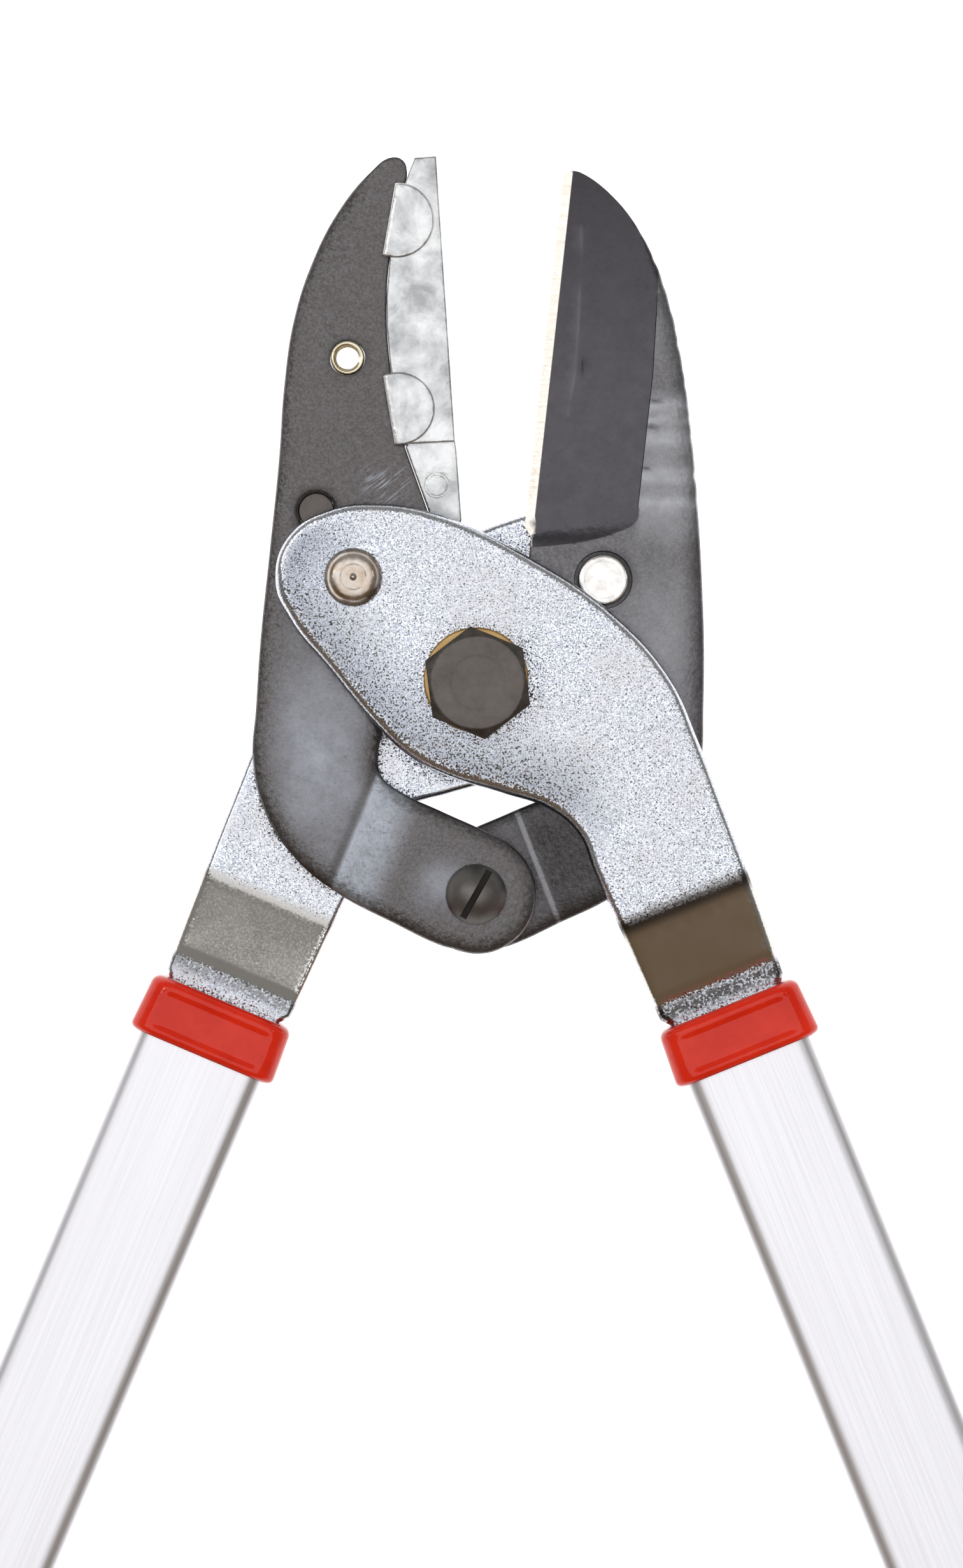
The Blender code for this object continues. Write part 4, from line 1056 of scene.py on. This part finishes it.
def hexMesh(name, across, face, low, high, turn, bore=None, bothEnds=False, dish=0.0):
    loops = [hexLoop(across, turn)]
    if bore:
        loops.append(circle((0, 0), bore, 0.4)[::-1])
    guides = [closedRing(circle((0, 0), face + out, 0.4)) for out in (-0.25, 0, 0.25)]
    guides += [closedRing(circle((0, 0), r, 0.5)) for r in (4.6, 5.0, 5.4)] if dish else []
    def fall(x, y):
        out = np.hypot(x, y) - face
        return 0.577 * np.where(out > 0.25, out, np.clip(out + 0.25, 0, 0.5) ** 2)
    def top(x, y, edge, hole):
        return high - fall(x, y) - dish * ease(-np.hypot(x, y), -5.4, -4.6) - 0.6 * np.clip(0.6 - hole, 0, 1)
    def bottom(x, y, edge, hole):
        return low + (fall(x, y) if bothEnds else 0) + 0.6 * np.clip(0.6 - hole, 0, 1)
    return sheet(name, loops, top, bottom, [0, 0.08], guides, 1.2)


def thread(pitch, depth, low, high):
    # radius of a screw thread; its ends run out smoothly
    def shape(radius, height, angle):
        phase = (height / pitch - angle / math.tau) % 1
        groove = depth * (1 - np.abs(2 * phase - 1) * 1.6).clip(0, 1)
        within = ease(height, low, low + pitch / 2) * (1 - ease(height, high - pitch, high))
        return np.where(radius > 1, radius - groove * within, radius)
    return shape


def shank(name, radius, low, high, pitch, threadTop, chamfer):
    rows = np.arange(low + chamfer, threadTop, pitch / 8)[::-1]
    profile = [(0, high), (radius, high), *[(radius, z) for z in rows], (radius - chamfer, low), (0, low)]
    return turned(name, profile, 64, shape=thread(pitch, 0.55 * pitch, low - 2, threadTop))


def buildPivot():
    washerTop = nodeBox("pivot_washer_front")[1].z
    seat = washerTop + touching
    head = hexMesh("pivotBolt", bolt["across"], bolt["face"], seat, stack["boltTop"], bolt["turn"], dish=0.12)
    body = shank("shank", bolt["radius"], stack["floor"], washerTop + 1, bolt["pitch"], -8.5, 0.9)
    addPiece("pivotBolt", combined(head, [body]), "bolt_steel", "left_handle", ["pivot_bolt"])
    loose = Matrix.Translation((-0.0003, 0.0006, 0))  # the washers sit a little off centre on the bolt
    for name, node in (("washerFront", "pivot_washer_front"), ("washerBack", "pivot_washer_back")):
        low, high = nodeBox(node)
        washer = ringMesh(name, 6.8, high.x - 0.35, low.z, high.z, 0.35)
        addPiece(name, washer, "washer_zinc", "left_handle", [node], upright @ loose)
    low, high = nodeBox("pivot_nut")
    nut = hexMesh("pivotNut", bolt["across"], 8.5, low.z, high.z, 0.3, plate["boltHole"], True)
    addPiece("pivotNut", nut, "bolt_steel", "left_handle", ["pivot_nut"])
    low, high = nodeBox("pivot_spacer")
    spacer = ringMesh("spacer", plate["boltHole"], high.x, low.z, high.z, 0.4)
    addPiece("pivotSpacer", spacer, "bush_brass", "left_handle", ["pivot_spacer"])


def ringMesh(name, inner, outer, low, high, rim):
    # a washer or spacer with rounded edges
    left, right, top, bottom = inner + rim, outer - rim, high - rim, low + rim
    profile = []
    for i, corner in enumerate(((left, top), (right, top), (right, bottom), (left, bottom))):
        profile += arc(corner, rim, 180 - 90 * i, 90 - 90 * i, 5)
    return turned(name, profile, 96, True)


def rivetMesh():
    top = stack["plateTop"] + touching
    neck = -jaw["recessLevel"] - touching
    dome = [
        (0, 2.6), (0.2, 2.58), (0.45, 2.44), (0.62, 2.3), (0.8, 2.28), (1.2, 2.34), (1.7, 2.39), (2.1, 2.42),
        (2.3, 2.45), (2.45, 2.5), (2.65, 2.52), (3.0, 2.48), (3.5, 2.38), (4.0, 2.22), (4.35, 1.98),
        (4.7, 1.6), (5.0, 1.1), (5.2, 0.65), (rivet["head"], 0.25), (5.32, 0.05), (5.2, 0),
    ]
    flat = [
        (rivet["end"], neck), (rivet["end"], -2.25), (4.52, -2.45), (4.35, -2.56), (3.7, -2.6),
        (3.45, -2.54), (3.2, -2.5), (1.5, -2.48), (0, -2.47),
    ]
    profile = [(r, top + z) for r, z in dome] + [(rivet["shank"], top), (rivet["shank"], neck)] + flat
    return turned("rivet", profile, 96)


def stopPinMesh():
    low, high = nodeBox("stop_pin")
    end = [(0, high.z), (2.7, high.z), (3.1, high.z - 0.06), (3.32, high.z - 0.3)]
    return turned("stopPin", end + [(3.32, low.z + 0.4), (2.8, low.z), (0, low.z)], 64)


def linkWasherMesh():
    low, high = nodeBox("link_washer")
    return ringMesh("linkWasher", jaw["screwHole"], high.x, low.z, high.z, 0.3)


def linkNutMesh():
    low, high = nodeBox("link_nut")
    return hexMesh("linkNut", 10.0, 4.7, low.z, high.z, 0.5, jaw["screwHole"], True)


def centredOn(place, centre):
    return place @ Matrix.Translation(Vector((*centre, 0)) * 0.001)


def buildFasteners():
    mesh = rivetMesh()
    front, back = centredOn(upright, jawPivot), centredOn(turnedOver, jawPivot)
    addPiece("anvilRivet", mesh, "rivet_zinc", "right_handle", ["anvil_rivet"], front)
    addPiece("bladeRivet", mesh, "rivet_zinc", "left_handle", ["blade_rivet"], back)
    for name, make, slotName, node, centre in (
        ("stopPin", stopPinMesh, "bolt_steel", "stop_pin", stopPinAt),
        ("anvilBush", bushMesh, "bush_brass", "anvil_bush", bushAt),
        ("linkScrew", linkScrewMesh, "screw_black", "link_screw", linkPivot),
        ("linkWasher", linkWasherMesh, "bolt_steel", "link_washer", linkPivot),
        ("linkNut", linkNutMesh, "bolt_steel", "link_nut", linkPivot),
    ):
        addPiece(name, make(), slotName, "anvil_jaw", [node], centredOn(upright, centre))


def bushMesh():
    low, high = nodeBox("anvil_bush")
    bore, outer, pitch = bush["bore"], bush["radius"], bush["pitch"]
    profile = [(bore, z) for z in np.arange(low.z + 0.1, high.z - 0.1, 0.12)]
    profile += [(2.6, high.z), (2.9, high.z), (outer, high.z - 0.2)]
    profile += [(outer, low.z + 0.2), (2.9, low.z), (2.6, low.z)]
    def shape(radius, height, angle):
        phase = (height / pitch - angle / math.tau) % 1
        return np.where(radius < bore + 0.1, radius + 0.42 * (1 - np.abs(2 * phase - 1)), radius)
    return turned("bush", profile, 64, True, shape, 50)


def linkScrewMesh():
    head, radius, pitch = linkScrew["head"], linkScrew["radius"], linkScrew["pitch"]
    seat = stack["jawHalf"] + stack["armLift"] + touching
    ball, rise, lip = 6.83, 2.85, 0.45  # the dome's radius and height, and the lip under it
    reach = np.linspace(0, head, 14)
    profile = [(r, seat + lip + math.sqrt(ball**2 - r**2) - ball + rise) for r in reach]
    low, threadTop = nodeBox("link_screw")[0].z, -6.0
    rows = np.arange(low + 0.5, threadTop, pitch / 8)[::-1]
    profile += [(head, seat), (radius, seat), *[(radius, z) for z in rows], (radius - 0.5, low), (0, low)]
    cut = thread(pitch, 0.5, low - 1, threadTop)
    def threaded(r, z, angle):
        return np.where(z < threadTop + 0.1, cut(r, z, angle), r)
    floor = seat + linkScrew["slotFloor"]
    slot = boxMesh("slot", (20, linkScrew["slot"], 4), (0, 0, floor + 2))
    slot.transform(Matrix.Rotation(linkScrew["turn"], 4, "Z"))
    sine, cosine = math.sin(linkScrew["turn"]), math.cos(linkScrew["turn"])
    # painted shade on the floor of the slot
    def slotFloor(x, y, z):
        return (abs(y * cosine - x * sine) < 0.7) & (abs(z - floor) < 0.05)
    screw = turned("linkScrew", profile, 96, shape=threaded)
    return marked(combined(screw, [slot], "DIFFERENCE"), "paintedShade", slotFloor)


# handles
ferrule = {
    "top": 72.0,
    "end": 83.0,
    "half": (13.6, 7.9),
    "flare": (0.6, 0.3),  # how much larger it is at the tube
    "corner": 4.2,
    "rims": (1.7, 1.2),
    "slotHalf": (11.3, 2.55),
    "panelDepth": 0.45,
    "pocketFloor": 74.2,
}


def aroundTube(gap, corner, flatSteps):
    return roundedSection(handle["tubeHalf"][0] + gap, handle["tubeHalf"][1] + gap, corner, flatSteps)


def ferruleMesh():
    top, end, floor = ferrule["top"], ferrule["end"], ferrule["pocketFloor"]
    topRim, endRim = ferrule["rims"]
    def outer(station):
        share = (station - top) / (end - top)
        wide, high = (half + flare * share for half, flare in zip(ferrule["half"], ferrule["flare"]))
        for edge, radius in ((top, topRim), (end, endRim)):
            back = rolled(abs(station - edge), radius)
            wide, high = wide - back, high - back
        points = roundedSection(wide, high, ferrule["corner"], 24)
        flat = np.abs(points[:, 1]) > 5
        across = ease(-np.abs(points[:, 0]), -10.8, -9.6)
        along = ease(station, 73.8, 75.2) - ease(station, 80.4, 81.7)
        points[:, 1] -= np.sign(points[:, 1]) * flat * ferrule["panelDepth"] * across * along
        return points
    stations = [top + d for d in roundSteps(topRim, 6)] + list(np.arange(74.0, 81.7, 0.35))
    stations += [end - d for d in roundSteps(endRim, 4)[::-1]]
    slot = roundedSection(*ferrule["slotHalf"], 1.0, 24)
    pocket = aroundTube(touching, 3.0, 24)
    rings = [(top + 0.2, slot)] + [(at, outer(at)) for at in stations]
    return lofted("ferrule", rings + [(end, pocket), (floor, pocket), (floor, slot)], True)


def tubeMesh():
    halfWide, halfHigh = handle["tubeHalf"]
    wall = handle["tubeWall"]
    start, end = handle["tubeRun"]
    outer = roundedSection(halfWide + 0.1, halfHigh, 4.0, 4, 12)
    inner = roundedSection(halfWide - wall, halfHigh - wall, 2.0, 4, 12)
    rings = [(at, outer) for at in np.linspace(start, end, 60)]
    return lofted("tube", rings + [(end, inner), (start, inner)], True)


grip = {
    "rows": [  # station, half width, half height and corner
        (500, 14.3, 8.1, 3.6), (502, 15.6, 9.4, 4.6), (508, 15.8, 9.6, 4.8), (512, 15.0, 8.8, 4.2),
        (540, 15.3, 9.3, 4.6), (572, 16.2, 10.6, 5.6), (604, 15.3, 9.6, 5.0), (626, 15.0, 9.3, 4.6),
        (634, 16.8, 11.6, 5.4), (640, 19.4, 15.9, 6.0), (642, 20.0, 16.5, 6.2), (650.5, 20.0, 16.5, 6.2),
        (652, 18.6, 15.1, 5.4),
    ],
    "grooved": (527, 612),
    "firstGroove": 530,
    "groovePitch": 6.5,
    "grooveDepth": 0.55,
}
cap = {"start": 641.4, "end": 651.4, "rim": 0.9, "corner": 2.8}


def gripMesh():
    rows = np.array(grip["rows"])
    start, end = rows[0, 0], rows[-1, 0]
    first, last = grip["grooved"]
    rings = []
    for at in np.unique(np.concatenate([np.arange(start, end, 0.8), rows[:, 0]])):
        wide, high, corner = (np.interp(at, rows[:, 0], rows[:, i]) for i in (1, 2, 3))
        phase = (at - grip["firstGroove"]) / grip["groovePitch"]
        groove = grip["grooveDepth"] * max(0, math.cos(math.tau * phase)) ** 6 if first < at < last else 0
        rings.append((at, roundedSection(wide - groove, high - groove, corner, 12)))
    bore = aroundTube(touching, 3.0, 12)
    return lofted("grip", rings + [(end, bore), (start, bore)], True)


def capMesh():
    wide, high = (half - touching for half in handle["tubeHalf"])
    end, rim, corner = cap["end"], cap["rim"], cap["corner"]
    rings = [(cap["start"], roundedSection(wide, high, corner, 12))]
    for drop in roundSteps(rim, 4)[::-1]:
        fall = rolled(drop, rim)
        rings.append((end - drop, roundedSection(wide - fall, high - fall, corner - fall / 2, 12)))
    rings.append((end - 0.1, roundedSection(wide - 3.4, high - 3.0, 1.4, 12)))
    rings.append((end - 0.8, roundedSection(wide - 3.8, high - 3.4, 1.2, 12)))
    return lofted("cap", rings)


def buildHandles():
    axis = centredOn(Matrix(), onHandle(0, handle["offset"])) @ Matrix.Rotation(handle["angle"], 4, "Z")
    shapes = [
        ("Ferrule", "ferrule", ferruleMesh(), "ferrule_red"), ("Tube", "tube", tubeMesh(), "tube_aluminium"),
        ("Grip", "grip", gripMesh(), "grip_vinyl"), ("GripCap", "grip_cap", capMesh(), "cap_plastic"),
    ]
    for side, place in (("right", upright), ("left", turnedOver)):
        for name, node, mesh, slotName in shapes:
            addPiece(side + name, mesh, slotName, side + "_handle", [f"{side}_{node}"], place @ axis)
        for node, slotName in (("tang_sleeve", "insert_plastic"), ("tang_pin", "pin_steel")):
            kept = frame["nodes"][f"{side}_{node}"]
            kept.data.materials.clear()
            kept.data.materials.append(materials[slotName])


for build in (buildPlates, buildJaws, buildAnvil, buildPivot, buildFasteners, buildHandles):
    build()
    print(build.__name__, "done")


# floor, light and camera
studio = {
    "floor": "#F4F4F3",
    "floorGlow": 0.75,
    "softbox": (1.5, 1.18, (0, 0, 1.65)),  # size, radiance and place from the pivot, in metres
    "window": (0.7, 1.3, (-0.98, 0.42, 1.5)),
    "spark": (0.09, 22, (1.0, 0.25, 1.35)),
    "fill": 1.35,
}
view = {"distance": 1.4, "frameHigh": 0.2895, "centre": (0.85, -18.5), "roll": math.radians(0.45)}


def buildStage():
    mesh = bpy.data.meshes.new("floor")
    shape = bmesh.new()
    bmesh.ops.create_grid(shape, x_segments=1, y_segments=1, size=25)
    shape.to_mesh(mesh)
    shape.free()
    floor = placed("floor", mesh)
    floor.location.z = -0.0003
    glow = {"Emission_Color": (1, 1, 1, 1), "Emission_Strength": studio["floorGlow"]}
    flat = {"Base_Color": colour(studio["floor"]), "Roughness": 0.9, "Specular_IOR_Level": 0.0}
    mesh.materials.append(newMaterial("paleFloor", **flat, **glow)[0])


def addLamp(name, size, radiance, place, aimed=True):
    # a square lamp, turned towards the pivot
    light = bpy.data.lights.new(name, "AREA")
    light.size = size
    light.energy = radiance * math.pi * light.size**2
    lamp = placed(name, light)
    lamp.location = (place[0], pivot.y + place[1], place[2])
    if aimed:
        lamp.rotation_euler = Vector(place).to_track_quat("Z", "Y").to_euler()
    return lamp


def rampOf(tree, height, codes):
    # colours by height; the first two are the ramp's ends
    stops = [(at, colour(code)) for at, code in codes]
    return addNode(tree, "ValToRGB", {"Fac": height}, stops).outputs["Color"]


def buildLight():
    softbox = addLamp("softbox", *studio["softbox"], aimed=False)
    softbox.visible_camera = False
    addLamp("window", *studio["window"])
    size, radiance, (x, y, z) = studio["spark"]
    for side in (-1, 1):
        addLamp("spark", size, radiance, (side * x, y, z))
    fill = bpy.data.lights.new("fill", "SUN")
    fill.energy = studio["fill"]
    fill.angle = math.radians(60)
    placed("fill", fill).visible_glossy = False  # it lifts the plastics and leaves the metals to the softbox
    world = bpy.data.worlds.new("studio")
    bpy.context.scene.world = world
    world.use_nodes = True
    tree = world.node_tree
    direction = addNode(tree, "TexCoord").outputs["Generated"]
    parts = addNode(tree, "SeparateXYZ", {"Vector": direction}).outputs
    greys = [(0.0, "#E8E8E8"), (1.0, "#8E8C8A"), (0.12, "#C2C0BE"), (0.3, "#85837F"), (0.8, "#807E7A")]
    browns = [(0.0, "#6E5A48"), (1.0, "#1C1A18"), (0.865, "#7E6A54"), (0.91, "#2A2420")]
    wall = rampOf(tree, parts["Z"], greys)
    front = ranged(tree, parts["Y"], 1.0, 0.0, -0.42, -0.24)
    brown = blend(tree, front, wall, rampOf(tree, parts["Z"], browns))
    room = blend(tree, ranged(tree, parts["Z"], 0.0, 1.0, 0.12, 0.3), wall, brown)
    background = tree.nodes["Background"]
    tree.links.new(room, background.inputs["Color"])
    tree.links.new(ranged(tree, parts["Y"], 1.0, 1.5, 0.0, 0.7), background.inputs["Strength"])


def buildCamera():
    camera = bpy.data.cameras.new("camera")
    camera.sensor_width = 36
    camera.lens = camera.sensor_width * view["distance"] / view["frameHigh"]
    camera.clip_end = 60
    eye = placed("camera", camera)
    eye.location = pivot + Vector((view["centre"][0] * 0.001, view["centre"][1] * 0.001, view["distance"]))
    eye.rotation_euler.z = view["roll"]
    bpy.context.scene.camera = eye


buildStage()
buildLight()
buildCamera()
bpy.context.scene.view_settings.view_transform = "Standard"
